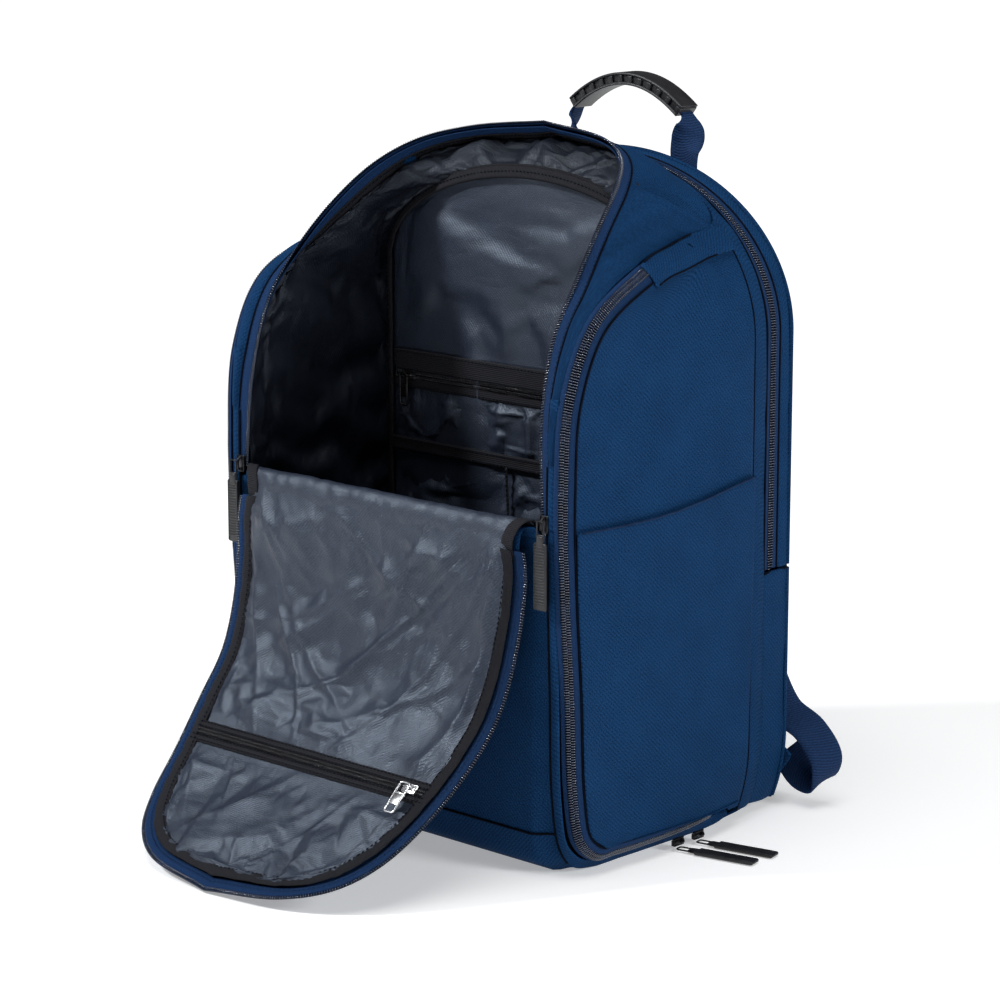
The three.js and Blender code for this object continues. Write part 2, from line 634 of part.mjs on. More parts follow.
function buildHarness(door) {
  const padPath = [point(40, 149, 446), point(56, 160, 410), point(78, 166, 340), point(98, 162, 275),
    point(111, 150, 226)];
  const padAcross = [point(1, 0, 0.25), point(1, 0, 0.3), point(1, 0, 0.3), point(1, 0, 0.3),
    point(1, 0, 0.25)];
  addPair(door, door, 'shoulder_pad', strap(padPath, padAcross, 60, 11, 10), 'foam');

  const buckleOutline = roundedRect(36, 24, 4);
  const slots = [-6, 1, 8].map((z) => roundedRect(27, 3.4, 1, [0, z], 1).reverse());
  for (const [side, sign] of [['right', 1], ['left', -1]]) {
    const buckle = addMesh(door, `strap_buckle_${side}`,
      plate(buckleOutline, 'xz', -2, 2, slots), 'rubber');
    buckle.position.set(sign * 116, 148, 202);
    buckle.rotation.y = -sign * 0.22;
  }

  const webPath = [point(121, 147, 164), point(129, 148, 130), point(138, 148, 92),
    point(153, 149, 70), point(174, 151, 58), point(188, 153, 38), point(182, 154, 20),
    point(168, 153, 22), point(154, 150, 40)];
  const webAcross = [point(1, 0, 0.2), point(1, 0.2, 0.3), point(0.7, 0.6, 0.5), point(0.2, 0.8, 0.5),
    point(0.3, 0.8, 0.4), point(0.3, 0.8, 0.4), point(0.2, 0.9, 0.4), point(0.1, 0.8, 0.5),
    point(-0.3, 0, 1)];
  addPair(model, model, 'lower_webbing', strap(webPath, webAcross, 26, 1.8, 30), 'webbing');
}

function buildHandle(door) {
  const grip = { y: 144, half: 56, foot: 509, rise: 22, thick: 10, depth: 26 };
  const arc = range(12, -1, 1).map((t) => [grip.half * t, grip.foot + grip.rise * (1 - t * t)]);
  const under = arc.map(([x, z]) => [x * 0.97, z - grip.thick / 2]).reverse();
  const over = arc.map(([x, z]) => [x, z + grip.thick / 2]);
  const bar = plate([...over, ...under].reverse(), 'xz', grip.y - grip.depth / 2, grip.y + grip.depth / 2);
  addMesh(door, 'handle_grip', bar, 'rubber');
  const path = [point(grip.half + 2.2, grip.y, 508), point(68, 142.5, 498), point(64, 138, 488),
    point(58, 135.4, 482), point(57.5, 134.4, 476.6)];
  const across = [point(0, 1, 0), point(0.3, 1, 0), point(0.8, 0.6, 0), point(1, 0.1, 0), point(1, 0, 0)];
  addPair(door, door, 'handle_webbing', strap(path, across, 25, 2, 8), 'webbing');
}

buildDividerPockets();
buildMainSliders();
buildDividerSlider();
buildFlap();
buildPods();
const backDoor = buildBackDoor(rearGusset);
buildHarness(backDoor);
buildHandle(backDoor);

export default model;
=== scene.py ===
"""Looks of the racket backpack: shell, zips, lining, pockets, harness and handle around the CAD frame."""
import math

import bmesh
import bpy
import numpy as np
from mathutils import Matrix, Vector


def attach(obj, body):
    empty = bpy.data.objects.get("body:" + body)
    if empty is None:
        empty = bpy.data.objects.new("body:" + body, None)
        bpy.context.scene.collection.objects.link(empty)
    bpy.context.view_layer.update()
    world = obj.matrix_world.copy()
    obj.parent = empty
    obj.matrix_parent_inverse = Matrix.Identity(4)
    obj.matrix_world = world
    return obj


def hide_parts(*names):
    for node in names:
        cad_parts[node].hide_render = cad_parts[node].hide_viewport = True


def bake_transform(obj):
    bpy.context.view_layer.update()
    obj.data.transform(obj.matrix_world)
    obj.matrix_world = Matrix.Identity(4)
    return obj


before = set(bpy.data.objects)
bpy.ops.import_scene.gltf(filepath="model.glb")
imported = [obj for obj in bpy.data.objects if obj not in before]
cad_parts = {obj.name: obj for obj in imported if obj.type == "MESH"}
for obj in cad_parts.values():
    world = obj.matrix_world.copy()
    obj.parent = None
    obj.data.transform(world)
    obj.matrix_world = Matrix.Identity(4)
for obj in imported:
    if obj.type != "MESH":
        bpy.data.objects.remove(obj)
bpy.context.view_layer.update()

# ---- driving dimensions, in millimetres, as the CAD model has them ----
MM = 0.001
FRONT_Y, SEAM_Y, REAR_ZIP_Y, BACK_Y, DIVIDER_Y = -115, 85, 112, 135, 32
CORE_HALF, SHELL_HALF, PANEL_HALF = 150, 172, 154.6
HINGE_Y, HINGE_Z = FRONT_Y - 4.4, 250
FLAP_OPEN = math.radians(178)
DOOR_Z, SHOULDER_Z, FOOT_Z = 184, 358, 8
ARCH_SIDE_SHARE = 0.55
SEAM_ARCH, ZIP_ARCH, BACK_ARCH = (169, 486), (164, 479), (163, 480)
POCKET = {"top": 325, "zip": 306, "hem": 257, "half": 138}
DIVIDER = {"half": 146, "spring": 396, "rise": 76}
TOOTH_PITCH = 1.9
TOOTH_REACH = 4.6

CORE = (0, -20, 200)              # a point inside the bag, which outer faces look away from
SIDES = (("right", 1), ("left", -1))


# ---- curves ----
class Spline:
    """A centripetal Catmull-Rom curve. Its parameter runs from 0 to 1, evenly over the spans."""

    def __init__(self, points):
        p = np.array(points, float)
        self.points = np.vstack([2 * p[0] - p[1], p, 2 * p[-1] - p[-2]])
        self.spans = len(p) - 1

    def __call__(self, t):
        at = np.clip(np.asarray(t, float), 0, 1) * self.spans
        k = np.minimum(at.astype(int), self.spans - 1)
        w = (at - k)[..., None]
        p0, p1, p2, p3 = (self.points[k + i] for i in range(4))
        d0, d1, d2 = (np.sqrt(np.linalg.norm(b - a, axis=-1, keepdims=True)) + 1e-6
                      for a, b in ((p0, p1), (p1, p2), (p2, p3)))
        m1 = ((p1 - p0) / d0 - (p2 - p0) / (d0 + d1) + (p2 - p1) / d1) * d1
        m2 = ((p2 - p1) / d1 - (p3 - p1) / (d1 + d2) + (p3 - p2) / d2) * d1
        return (p1 + m1 * w + (3 * (p2 - p1) - 2 * m1 - m2) * w ** 2
                + (2 * (p1 - p2) + m1 + m2) * w ** 3)

    def tangent(self, t):
        return direction(self, t)


def profile(points):
    """A curve in the Y-Z plane."""
    return Spline([(0, y, z) for y, z in points])


def unit(v):
    return v / np.maximum(np.linalg.norm(v, axis=-1, keepdims=True), 1e-9)


def direction(curve, t, step=1e-3, start=0.0, stop=1.0):
    """The way a curve runs on at t, as a unit vector."""
    return unit(curve(np.clip(t + step, start, stop)) - curve(np.clip(t - step, start, stop)))


def lengths(p):
    """The length run so far at each point of a row."""
    return np.concatenate([[0], np.cumsum(np.linalg.norm(np.diff(p, axis=0), axis=1))])


def mix(a, b, t):
    return a + (b - a) * t


def stack(x, y, z):
    return np.stack(np.broadcast_arrays(x, y, z), axis=-1).astype(float)


def smooth(a, b, x):
    t = np.clip((x - a) / (b - a), 0, 1)
    return t * t * (3 - 2 * t)


def portion(x):
    """x kept between 0 and 1."""
    return np.clip(x, 0, 1)


def from_foot(t):
    """For a place t of an arch: how far up its own half it is, from 0 to 1, and which side that is."""
    return portion(1 - np.abs(2 * t - 1)), np.where(t < 0.5, -1, 1)


def grid(cols, rows, u0=0, v0=0):
    return np.meshgrid(np.linspace(u0, 1, cols + 1), np.linspace(v0, 1, rows + 1))


def always(*toward):
    """The same direction at every place of a curve."""
    return lambda t, p=None: np.broadcast_to(np.array(toward, float), (len(t), 3))


rim_right = Spline([(150, -115, 248), (145, -111, 325), (142, -96, 378), (139, -71, 412), (131, -40, 445),
                    (119, -7, 472), (100, 18, 488), (66, 38, 498), (0, 47, 505)])
POD_EDGE = [(-80, 10), (-99, 26), (-107, 60), (-111, 133), (-116, 204), (-118, 274), (-112, 341),
            (-84, 392), (-14, 423), (50, 433)]
pod_edge = profile(POD_EDGE)
pod_rear = profile([(76, 10), (78, 30), (80, 64), (82, 133), (83, 212), (83, 288), (81, 346), (77, 382),
                    (71, 412), (62, 432)])
pod_zip_path = profile([(79, 14), (0, 9), (-60, 9)] + POD_EDGE[:-1]
                       + [(22, 429), (52, 433.5), (SEAM_Y - 1, 437)])


def mirrored_curve(curve, t):
    """A curve of the right half, from its foot to the crown, run from the left foot to the right one."""
    s, side = from_foot(np.asarray(t, float))
    p = curve(s)
    p[..., 0] *= side
    return p


def rim(t):
    return mirrored_curve(rim_right, t)


def pod_face(y, z):
    """Half width of the bag over a pod, which leans in at its top and at the rear of its foot."""
    rise = portion((z - 348) / 85) ** 2
    foot = 13 * portion(1 - z / 70) ** 2 * portion((y - 28) / 52) ** 1.5
    return SHELL_HALF - 28 * rise * portion((y + 100) / 150) - foot


TAPE_TUCK = 9.5                   # how far inside the pod's face its gusset stops
gusset_right = Spline([(pod_face(y, z) - TAPE_TUCK, y + 0.5, z + 1)
                       for y, z in [(-118, 250), (-112, 341), (-84, 392), (-14, 423), (40, 431)]]
                      + [(136, SEAM_Y - 6, 440), (104, SEAM_Y - 3, 466), (0, SEAM_Y - 3, 488)])


def gusset_edge(t):
    return mirrored_curve(gusset_right, t)


def foot_tuck(z):
    """How far the shell draws in beside the floor."""
    return 14 * portion(1 - z / 60) ** 2


def arch(v, y):
    """The rear arch at depth y, from the left foot (v = 0) over the crown to the right foot (v = 1)."""
    to_zip = portion((y - SEAM_Y) / (REAR_ZIP_Y - SEAM_Y))
    to_back = portion((y - REAR_ZIP_Y) / (BACK_Y - REAR_ZIP_Y))
    half, crown = (mix(mix(a, b, to_zip), c, to_back) for a, b, c in zip(SEAM_ARCH, ZIP_ARCH, BACK_ARCH))
    s, side = from_foot(v)
    low = s < ARCH_SIDE_SHARE
    z_low = mix(FOOT_Z, SHOULDER_Z, s / ARCH_SIDE_SHARE)
    tuck = foot_tuck(z_low)
    angle = (s - ARCH_SIDE_SHARE) / (1 - ARCH_SIDE_SHARE) * math.pi / 2
    x = np.where(low, half - tuck, half * np.cos(angle))
    z = np.where(low, z_low, SHOULDER_Z + (crown - SHOULDER_Z) * np.sin(angle))
    return stack(side * x, y, z)


LINING_FOOT_SHARE = 0.36          # share of each half of the lining's outline that is its upright side


def divider_edge(t, inset=0.0):
    """Outline of the divider from its left foot over the arch to its right foot."""
    half, spring, rise = DIVIDER["half"] - inset, DIVIDER["spring"], DIVIDER["rise"] - inset
    s, side = from_foot(t)
    angle = portion((s - LINING_FOOT_SHARE) / (1 - LINING_FOOT_SHARE)) * math.pi / 2
    low = s < LINING_FOOT_SHARE
    x = np.where(low, half, half * np.cos(angle))
    z = np.where(low, mix(6, spring, s / LINING_FOOT_SHARE), spring + rise * np.sin(angle))
    return stack(side * x, DIVIDER_Y - 0.6, z)


# The flap is drawn closed, against the rim, and then folded down about its hinge.
FLAP_STEPS = 600
closed_flap = rim_right(np.linspace(0, 1, FLAP_STEPS + 1))
closed_length = lengths(closed_flap[:, 1:])


def flap_point(x, length, depth=0.0):
    """A point on the closed flap's face, `length` up from the fold and `depth` towards the bag's inside."""
    def at(where):
        return (np.interp(where, closed_length, closed_flap[:, k]) for k in (1, 2))
    y, z = at(length)
    dy, dz = (b - a for a, b in zip(at(length - 4), at(length + 4)))
    size = np.hypot(dy, dz)
    return stack(x, y + depth * dz / size, z - depth * dy / size)


def flap_edge(t, inset):
    """The flap's edge as (x, length) with t from 0 at the left fold to 1 at the right one."""
    s, side = from_foot(t)
    at, steps = s * FLAP_STEPS, np.arange(FLAP_STEPS + 1)
    k = np.minimum(at.astype(int), FLAP_STEPS - 1)
    x = np.interp(at, steps, closed_flap[:, 0])
    length = np.interp(at, steps, closed_length)
    dx, dl = closed_flap[k + 1, 0] - closed_flap[k, 0], closed_length[k + 1] - closed_length[k]
    size = np.hypot(dx, dl)
    tuck = 13 * portion(1 - length / 45) ** 2
    new_x = x - dl / size * inset * portion(x / 30) - tuck
    return side * new_x, length + dx / size * inset


def fold_down(p):
    y, z = p[..., 1] - HINGE_Y, p[..., 2] - HINGE_Z
    c, s = math.cos(FLAP_OPEN), math.sin(FLAP_OPEN)
    return stack(p[..., 0], HINGE_Y + y * c - z * s, HINGE_Z + y * s + z * c)


# ---- noise and wrinkles ----
def value_noise(p, seed=0):
    """Smooth noise from -1 to 1 at the points p, with features about one unit wide."""
    base = np.floor(p).astype(np.int64)
    f = p - base
    w = f * f * (3 - 2 * f)
    total = 0
    for corner in np.ndindex(2, 2, 2):
        c = base + np.array(corner)
        h = (c[..., 0] * 73856093) ^ (c[..., 1] * 19349663) ^ (c[..., 2] * 83492791) ^ (seed * 2654435761)
        h = (h ^ (h >> 13)) * 1274126177
        value = ((h ^ (h >> 16)) & 0xFFFF) / 32767.5 - 1
        total = total + value * np.prod(np.where(np.array(corner) == 1, w, 1 - w), axis=-1)
    return total


def ripple(amount, size, seed, stretch=(1, 1, 1)):
    """A lift function: soft uneven undulation of a panel."""
    def lift(u, v, p):
        q = p / size / np.array(stretch)
        return amount * (value_noise(q, seed) + 0.45 * value_noise(q * 2.3, seed + 7))
    return lift


def normals(p, away):
    """Normals of a surface, on the side that looks away from a point."""
    n = unit(np.cross(np.gradient(p, axis=1), np.gradient(p, axis=0)))
    middle = n.shape[0] // 2, n.shape[1] // 2
    return n if np.dot(n[middle], p[middle] - np.array(away)) > 0 else -n


def slack(*edges):
    """1 inside a panel and 0 at its seams, from (distance to a seam, rate) pairs."""
    return math.prod(np.minimum(1, distance * rate) for distance, rate in edges)


def crumple(p, free, growth, seed, cap, away, back=0.6, frames=22):
    """Cloth simulation of one panel with extra fabric: its seams stay, and the rest buckles into folds.
    `free` is 1 where the cloth can move and 0 at its seams. No point goes over `cap` from its place,
    or more than `back` towards what lies behind the cloth."""
    n = normals(p, away)
    start = p + n * (value_noise(p / 26, seed) * 1.2 * free)[..., None]
    rows, cols = p.shape[:2]
    mesh = bpy.data.meshes.new("crumple")
    mesh.from_pydata((start.reshape(-1, 3) * MM).tolist(), [], grid_faces(rows, cols).tolist())
    obj = bpy.data.objects.new("crumple", mesh)
    bpy.context.scene.collection.objects.link(obj)
    pins = obj.vertex_groups.new(name="pins")
    for index, value in enumerate(1 - free.reshape(-1)):
        if value > 0.02:
            pins.add([index], float(min(value, 1)), "REPLACE")
    cloth_mod = obj.modifiers.new("cloth", "CLOTH")
    settings = cloth_mod.settings
    settings.vertex_group_mass = "pins"
    settings.quality = 5
    settings.mass = 0.12
    settings.tension_stiffness = settings.compression_stiffness = settings.shear_stiffness = 12
    settings.bending_stiffness = 0.18
    settings.shrink_min = -growth
    settings.effector_weights.gravity = 0.0
    cloth_mod.collision_settings.use_collision = False
    cloth_mod.point_cache.frame_start = 1
    cloth_mod.point_cache.frame_end = frames
    scene = bpy.context.scene
    for number in range(1, frames + 1):
        scene.frame_set(number)
    result = obj.evaluated_get(bpy.context.evaluated_depsgraph_get()).to_mesh()
    moved = np.empty(len(result.vertices) * 3)
    result.vertices.foreach_get("co", moved)
    scene.frame_set(1)
    bpy.data.objects.remove(obj)
    shift = moved.reshape(p.shape) / MM - p
    out = np.sum(shift * n, axis=-1, keepdims=True)
    shift += n * (np.maximum(out, -back) - out)
    size = np.linalg.norm(shift, axis=-1, keepdims=True)
    return p + shift * np.minimum(1, cap / np.maximum(size, 1e-6))


# ---- mesh helpers ----
def grid_faces(rows, cols):
    a = (np.arange(rows - 1)[:, None] * cols + np.arange(cols - 1)[None]).ravel()
    return np.stack([a, a + 1, a + cols + 1, a + cols], axis=1)


def finish_mesh(name, verts, faces, uvs, body, look, nodes=()):
    """A piece from vertices in millimetres and faces, standing for CAD nodes. It rides on a body; given a
    body as (a, b, start, end), it rides on none and keeps its place."""
    mesh = bpy.data.meshes.new(name)
    mesh.from_pydata((np.asarray(verts) * MM).tolist(), [], [list(map(int, f)) for f in faces])
    if uvs is not None:
        layer = mesh.uv_layers.new(name="cut")
        index = np.empty(len(mesh.loops), int)
        mesh.loops.foreach_get("vertex_index", index)
        layer.data.foreach_set("uv", (np.asarray(uvs)[index] * MM).astype(np.float32).ravel())
    work = bmesh.new()
    work.from_mesh(mesh)
    bmesh.ops.recalc_face_normals(work, faces=work.faces)
    work.to_mesh(mesh)
    work.free()
    mesh.polygons.foreach_set("use_smooth", [True] * len(mesh.polygons))
    obj = bpy.data.objects.new(name, mesh)
    bpy.context.scene.collection.objects.link(obj)
    mesh.materials.append(MATERIALS[look])
    if isinstance(body, tuple):
        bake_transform(obj)
    else:
        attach(obj, body)
    if nodes:
        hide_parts(*nodes)
    return obj


def cut_plan(p):
    """Lengths along and across a surface, as (u, v) in millimetres at each point."""
    along, up = (np.cumsum(np.linalg.norm(np.diff(p, axis=axis), axis=-1), axis=axis) for axis in (1, 0))
    along, up = np.pad(along, ((0, 0), (1, 0))), np.pad(up, ((1, 0), (0, 0)))
    return along - along[:, -1:] / 2, up


def border(index):
    """The cells round the outside of a table, in order."""
    return np.concatenate([index[0, :-1], index[:-1, -1], index[-1, :0:-1], index[:0:-1, 0]])


LEAST_FLAT, LEAST_AREA_SHARE = 0.011, 0.31


def cloth(name, surface, cols, rows, body, look, nodes=(), thick=2.0, away=CORE, lift=None,
          roll=0.5):
    """A panel of fabric with rolled edges. Its outer face is surface(u, v), or a ready grid of points."""
    u, v = grid(cols, rows)
    p = surface(u, v) if callable(surface) else surface
    if lift is not None:
        p = p + normals(p, away) * lift(u, v, p)[..., None]
    inner = p - normals(p, away) * thick
    across, up = cut_plan(p)
    count = p.shape[0] * p.shape[1]
    index = np.arange(count).reshape(p.shape[:2])
    around = border(index)
    inside = np.concatenate([index[1, :-1], index[:-1, -2], index[-2, :0:-1], index[:0:-1, 1]])
    flat_p, flat_in = p.reshape(-1, 3), inner.reshape(-1, 3)
    outwards = unit(flat_p[around] - flat_p[inside])
    ring = (flat_p[around] + flat_in[around]) / 2 + outwards * thick * roll
    verts = np.vstack([flat_p, flat_in, ring])
    uv = np.stack([across.ravel(), up.ravel()], axis=1)
    uvs = np.vstack([uv, uv, uv[around]])
    face = grid_faces(*p.shape[:2])
    k = np.arange(len(around))
    nxt = np.roll(k, -1)
    base = 2 * count
    faces = np.vstack([face, face[:, ::-1] + count,
                       np.stack([around[k], base + k, base + nxt, around[nxt]], 1),
                       np.stack([base + k, around[k] + count, around[nxt] + count, base + nxt], 1)])
    obj = finish_mesh(name, verts, faces, uvs, body, look, nodes)
    width = float(np.ptp(across, axis=1).max()) * MM
    length = float(up[-1].max()) * MM
    diagonals = p[1:, 1:] - p[:-1, :-1], p[:-1, 1:] - p[1:, :-1]
    area = float(np.linalg.norm(np.cross(*diagonals), axis=-1).sum() / 2) * MM * MM
    area = min(max(area, LEAST_AREA_SHARE * width * length), width * length)
    return obj


def tangents(path, closed):
    return unit(np.roll(path, -1, 0) - np.roll(path, 1, 0)) if closed else unit(np.gradient(path, axis=0))


def sweep(name, path, section, body, look, nodes=(), side=None, closed=False):
    """A section of (across, height) points swept along a path. `side` gives the across direction."""
    path = np.asarray(path, float)
    tangent = tangents(path, closed)
    if side is None:
        flattest = np.abs(tangent).max(axis=0).argmin()
        side = np.cross(tangent, np.eye(3)[flattest])
    side = np.broadcast_to(np.asarray(side, float), path.shape)
    side = unit(side - tangent * np.sum(side * tangent, axis=1, keepdims=True))
    up = np.cross(side, tangent)
    section = np.asarray(section, float)
    verts = path[:, None] + side[:, None] * section[None, :, :1] + up[:, None] * section[None, :, 1:]
    rows, cols = len(path), len(section)
    index = np.arange(rows * cols).reshape(rows, cols)
    if closed:
        index = np.vstack([index, index[:1]])
    a, b = index[:-1], index[1:]
    faces = np.stack([a, np.roll(a, -1, 1), np.roll(b, -1, 1), b], axis=-1).reshape(-1, 4).tolist()
    if not closed:
        faces += [index[0].tolist(), index[-1][::-1].tolist()]
    uvs = np.stack(np.meshgrid(lengths(section), lengths(path)), axis=-1).reshape(-1, 2)
    return finish_mesh(name, verts.reshape(-1, 3), faces, uvs, body, look, nodes)


def round_section(radius, sides=8, flat=1.0):
    a = np.linspace(0, 2 * math.pi, sides, endpoint=False)
    return np.stack([radius * np.cos(a), radius * flat * np.sin(a)], axis=1)


def band_section(width, thick):
    """A flat band with round edges."""
    a = np.linspace(-math.pi / 2, math.pi / 2, 3)
    right = np.stack([width / 2 - thick / 2 + thick / 2 * np.cos(a), thick / 2 * np.sin(a)], axis=1)
    top = np.linspace(width / 2 - thick, -width / 2 + thick, 5)
    upper = np.stack([top, np.full(5, thick / 2)], axis=1)
    return np.vstack([right, upper, -right, -upper])


def unit_bead():
    """A small ellipsoid of unit half-size: vertices and faces."""
    rings, sides = (-0.62, 0.0, 0.62), 6
    verts = [(0, 0, -1)]
    turns = [2 * math.pi * k / sides for k in range(sides)]
    for h in rings:
        r = math.sqrt(1 - h * h)
        verts += [(r * math.cos(a), r * math.sin(a), h) for a in turns]
    verts.append((0, 0, 1))
    top = len(verts) - 1
    faces = []
    for k in range(sides):
        m = (k + 1) % sides
        faces.append((0, 1 + m, 1 + k))
        for ring in range(len(rings) - 1):
            a = 1 + ring * sides
            faces.append((a + k, a + m, a + sides + m, a + sides + k))
        a = 1 + (len(rings) - 1) * sides
        faces.append((a + k, a + m, top))
    return np.array(verts, float), faces


BEAD_VERTS, BEAD_FACES = unit_bead()


def beads(name, centre, along, across, size, body, look, nodes=()):
    """Small ellipsoids in one mesh: coil teeth or stitches. size is half sizes along, up and across."""
    up = unit(np.cross(along, across))
    axes = np.stack([unit(along) * size[0], up * size[1], unit(across) * size[2]], axis=1)
    verts = centre[:, None] + np.einsum("vk,nkc->nvc", BEAD_VERTS, axes)
    per = len(BEAD_VERTS)
    faces = []
    for n in range(len(centre)):
        faces += [tuple(per * n + i for i in f) for f in BEAD_FACES]
    finish_mesh(name, verts.reshape(-1, 3), faces, None, body, look, nodes)


def evenly(curve, pitch, start=0.0, stop=1.0, phase=0.0):
    """Parameters that step evenly along a curve, `pitch` apart."""
    t = np.linspace(start, stop, 1500)
    length = lengths(curve(t))
    return np.interp(np.arange(phase * pitch, length[-1], pitch), length, t)


def stitch_row(name, curve, body, look, normal, pitch=3.6, start=0.0, stop=1.0, lift=0.2):
    """A row of stitches along a curve that lies on a surface. normal(t, points) points out of it."""
    t = evenly(curve, pitch, start, stop)
    p = curve(t)
    ahead = direction(curve, t, start=start, stop=stop)
    out = normal(t, p)
    beads(name, p + out * lift, ahead, np.cross(ahead, out), (pitch * 0.34, 0.32, 0.42), body, look)


def teeth(name, curve, across, out, body, nodes=(), start=0.0, stop=1.0, phase=0.0, reach=TOOTH_REACH,
          pitch=TOOTH_PITCH, look="coil"):
    """One row of coil teeth. curve is the row's middle, across points from the tape to the other row."""
    t = evenly(curve, pitch, start, stop, phase=phase)
    p = curve(t)
    # The coil's filler cord, near-black so that the gaps between teeth show painted shade.
    sweep(f"{name}_cord", (p + out(t) * 0.15)[::2], round_section(reach * 0.42, 6, 0.28), body, "thread_and_painted_shade",
          side=across(t)[::2])
    beads(name, p + out(t) * 0.5, direction(curve, t), across(t), (pitch * 0.26, 1.1, reach / 2), body, look,
          nodes)


# ---- materials ----
class Shader:
    """A node material with a Principled surface."""

    def __init__(self, name, **sockets):
        self.material = bpy.data.materials.new(name)
        self.material.use_nodes = True
        self.tree = self.material.node_tree
        self.surface = self.tree.nodes["Principled BSDF"]
        for key, value in sockets.items():
            self.surface.inputs[key.replace("_", " ")].default_value = value

    def node(self, kind, settings=None, **inputs):
        """A shader node. An input is given by its name, or as i0, i1 and so on by its number."""
        node = self.tree.nodes.new("ShaderNode" + kind)
        for key, value in (settings or {}).items():
            setattr(node, key, value)
        for key, value in inputs.items():
            socket = node.inputs[int(key[1:]) if key[1:].isdigit() else key.replace("_", " ")]
            if hasattr(value, "is_output"):
                self.tree.links.new(value, socket)
            else:
                socket.default_value = value
        return node

    def join(self, output, key):
        self.tree.links.new(output, self.surface.inputs[key])

    def on_cloth(self):
        """Coordinates on the flat cut of a sheet, in metres."""
        return self.node("UVMap", {"uv_map": "cut"}).outputs["UV"]

    def in_space(self):
        return self.node("TexCoord").outputs["Object"]

    def noise(self, vector, scale, detail=2.0, rough=0.5):
        noise = self.node("TexNoise", Vector=vector, Scale=scale, Detail=detail, Roughness=rough)
        return noise.outputs["Fac"]

    def wave(self, vector, period, way, distortion=0.0):
        wave_unit = 0.314159              # period of a wave texture at scale 1
        return self.node("TexWave", {"wave_type": "BANDS", "bands_direction": way}, Vector=vector,
                         Scale=wave_unit / period, Distortion=distortion).outputs["Fac"]

    def math(self, how, a, b=0.0):
        return self.node("Math", {"operation": how}, i0=a, i1=b).outputs[0]

    def total(self, a, a_share, b, b_share):
        """The sum of two values in given shares."""
        return self.math("ADD", self.math("MULTIPLY", a, a_share), self.math("MULTIPLY", b, b_share))

    def span(self, value, low, high):
        """Stretches a value so that low to high becomes 0 to 1."""
        return self.node("MapRange", Value=value, From_Min=low, From_Max=high).outputs[0]

    def between(self, value, low, high):
        """Turns 0 to 1 into low to high."""
        return self.node("MapRange", Value=value, To_Min=low, To_Max=high).outputs[0]

    def placed(self, vector, **settings):
        return self.node("Mapping", Vector=vector, **settings).outputs["Vector"]

    def colours(self, factor, *stops):
        ramp = self.node("ValToRGB", Fac=factor)
        elements = ramp.color_ramp.elements
        while len(elements) < len(stops):
            elements.new(0.5)
        for element, (place, colour) in zip(elements, stops):
            element.position = place
            element.color = (*colour, 1)
        return ramp.outputs["Color"]

    def bump(self, height, distance, strength=1.0, before=None):
        node = self.node("Bump", Height=height, Distance=distance, Strength=strength)
        if before is not None:
            self.tree.links.new(before, node.inputs["Normal"])
        return node.outputs["Normal"]


def woven(name, dark, light, period=0.0011, depth=0.00012, fleck=0.0010, **sockets):
    """Woven cloth with a fine two-tone fleck and faint twill lines."""
    s = Shader(name, **sockets)
    at = s.on_cloth()
    weave = s.math("MULTIPLY", s.wave(at, period, "X", 0.4), s.wave(at, period * 0.9, "Y", 0.4))
    speck = s.noise(at, 1 / fleck, 3.0, 0.65)
    patch = s.noise(at, 28.0)
    lines = s.math("ADD", weave, s.wave(at, period * 1.5, "DIAGONAL", 1.0))
    flecks = s.math("MULTIPLY", s.span(speck, 0.34, 0.66), 0.52)
    tone = s.math("ADD", flecks, s.total(lines, 0.17, patch, 0.18))
    s.join(s.colours(tone, (0.2, dark), (0.8, light)), "Base Color")
    s.join(s.span(speck, -1.6, 1.2), "Roughness")
    soft = s.bump(s.noise(at, 34.0), 0.0016, 0.5)
    fine = s.bump(weave, depth, 1.0, soft)
    s.join(s.bump(speck, depth * 2.2, 1.0, fine), "Normal")
    return s.material


def nylon(name, dark, light, rough, **sockets):
    """Thin calendered lining cloth: fine streaks along its threads, small creases and a soft bluish shine."""
    s = Shader(name, **sockets)
    at = s.on_cloth()
    creases = s.noise(at, 46.0, 3.0, 0.55)
    streaks = s.noise(s.placed(at, Scale=(0.3, 1.0, 1.0)), 1500.0, 2.0, 0.6)
    threads = s.wave(at, 0.0013, "DIAGONAL", 2.0)
    grain = s.total(s.span(streaks, 0.3, 0.7), 0.7, threads, 0.3)
    s.join(s.colours(s.total(creases, 0.25, grain, 0.75), (0.2, dark), (0.8, light)), "Base Color")
    s.join(s.between(grain, rough[1], rough[0]), "Roughness")
    slanted = s.placed(at, Rotation=(0, 0, 0.9), Scale=(0.55, 1.35, 1.0))
    crinkle = s.math("ABSOLUTE", s.math("SUBTRACT", s.noise(slanted, 22.0), 0.5))
    first = s.bump(crinkle, 0.0042, 0.6)
    second = s.bump(streaks, 0.0003, 1.0, first)
    s.join(s.bump(threads, 0.0001, 0.8, second), "Normal")
    return s.material


def twill(name, dark, light, period=0.0014, **sockets):
    """Tape or webbing with a herringbone of fine ribs."""
    s = Shader(name, **sockets)
    at = s.on_cloth()
    ribs = s.wave(at, period, "Y")
    diagonal = s.wave(at, period * 0.8, "DIAGONAL", 0.6)
    fuzz = s.noise(at, 900.0, 3.0, 0.7)
    tone = s.total(s.span(fuzz, 0.3, 0.7), 0.6, ribs, 0.4)
    s.join(s.colours(tone, (0.1, dark), (0.9, light)), "Base Color")
    s.join(s.span(fuzz, -1.8, 1.1), "Roughness")
    height = s.math("ADD", ribs, s.math("MULTIPLY", diagonal, 0.5))
    first = s.bump(height, 0.00022)
    s.join(s.bump(fuzz, 0.0002, 0.7, first), "Normal")
    return s.material


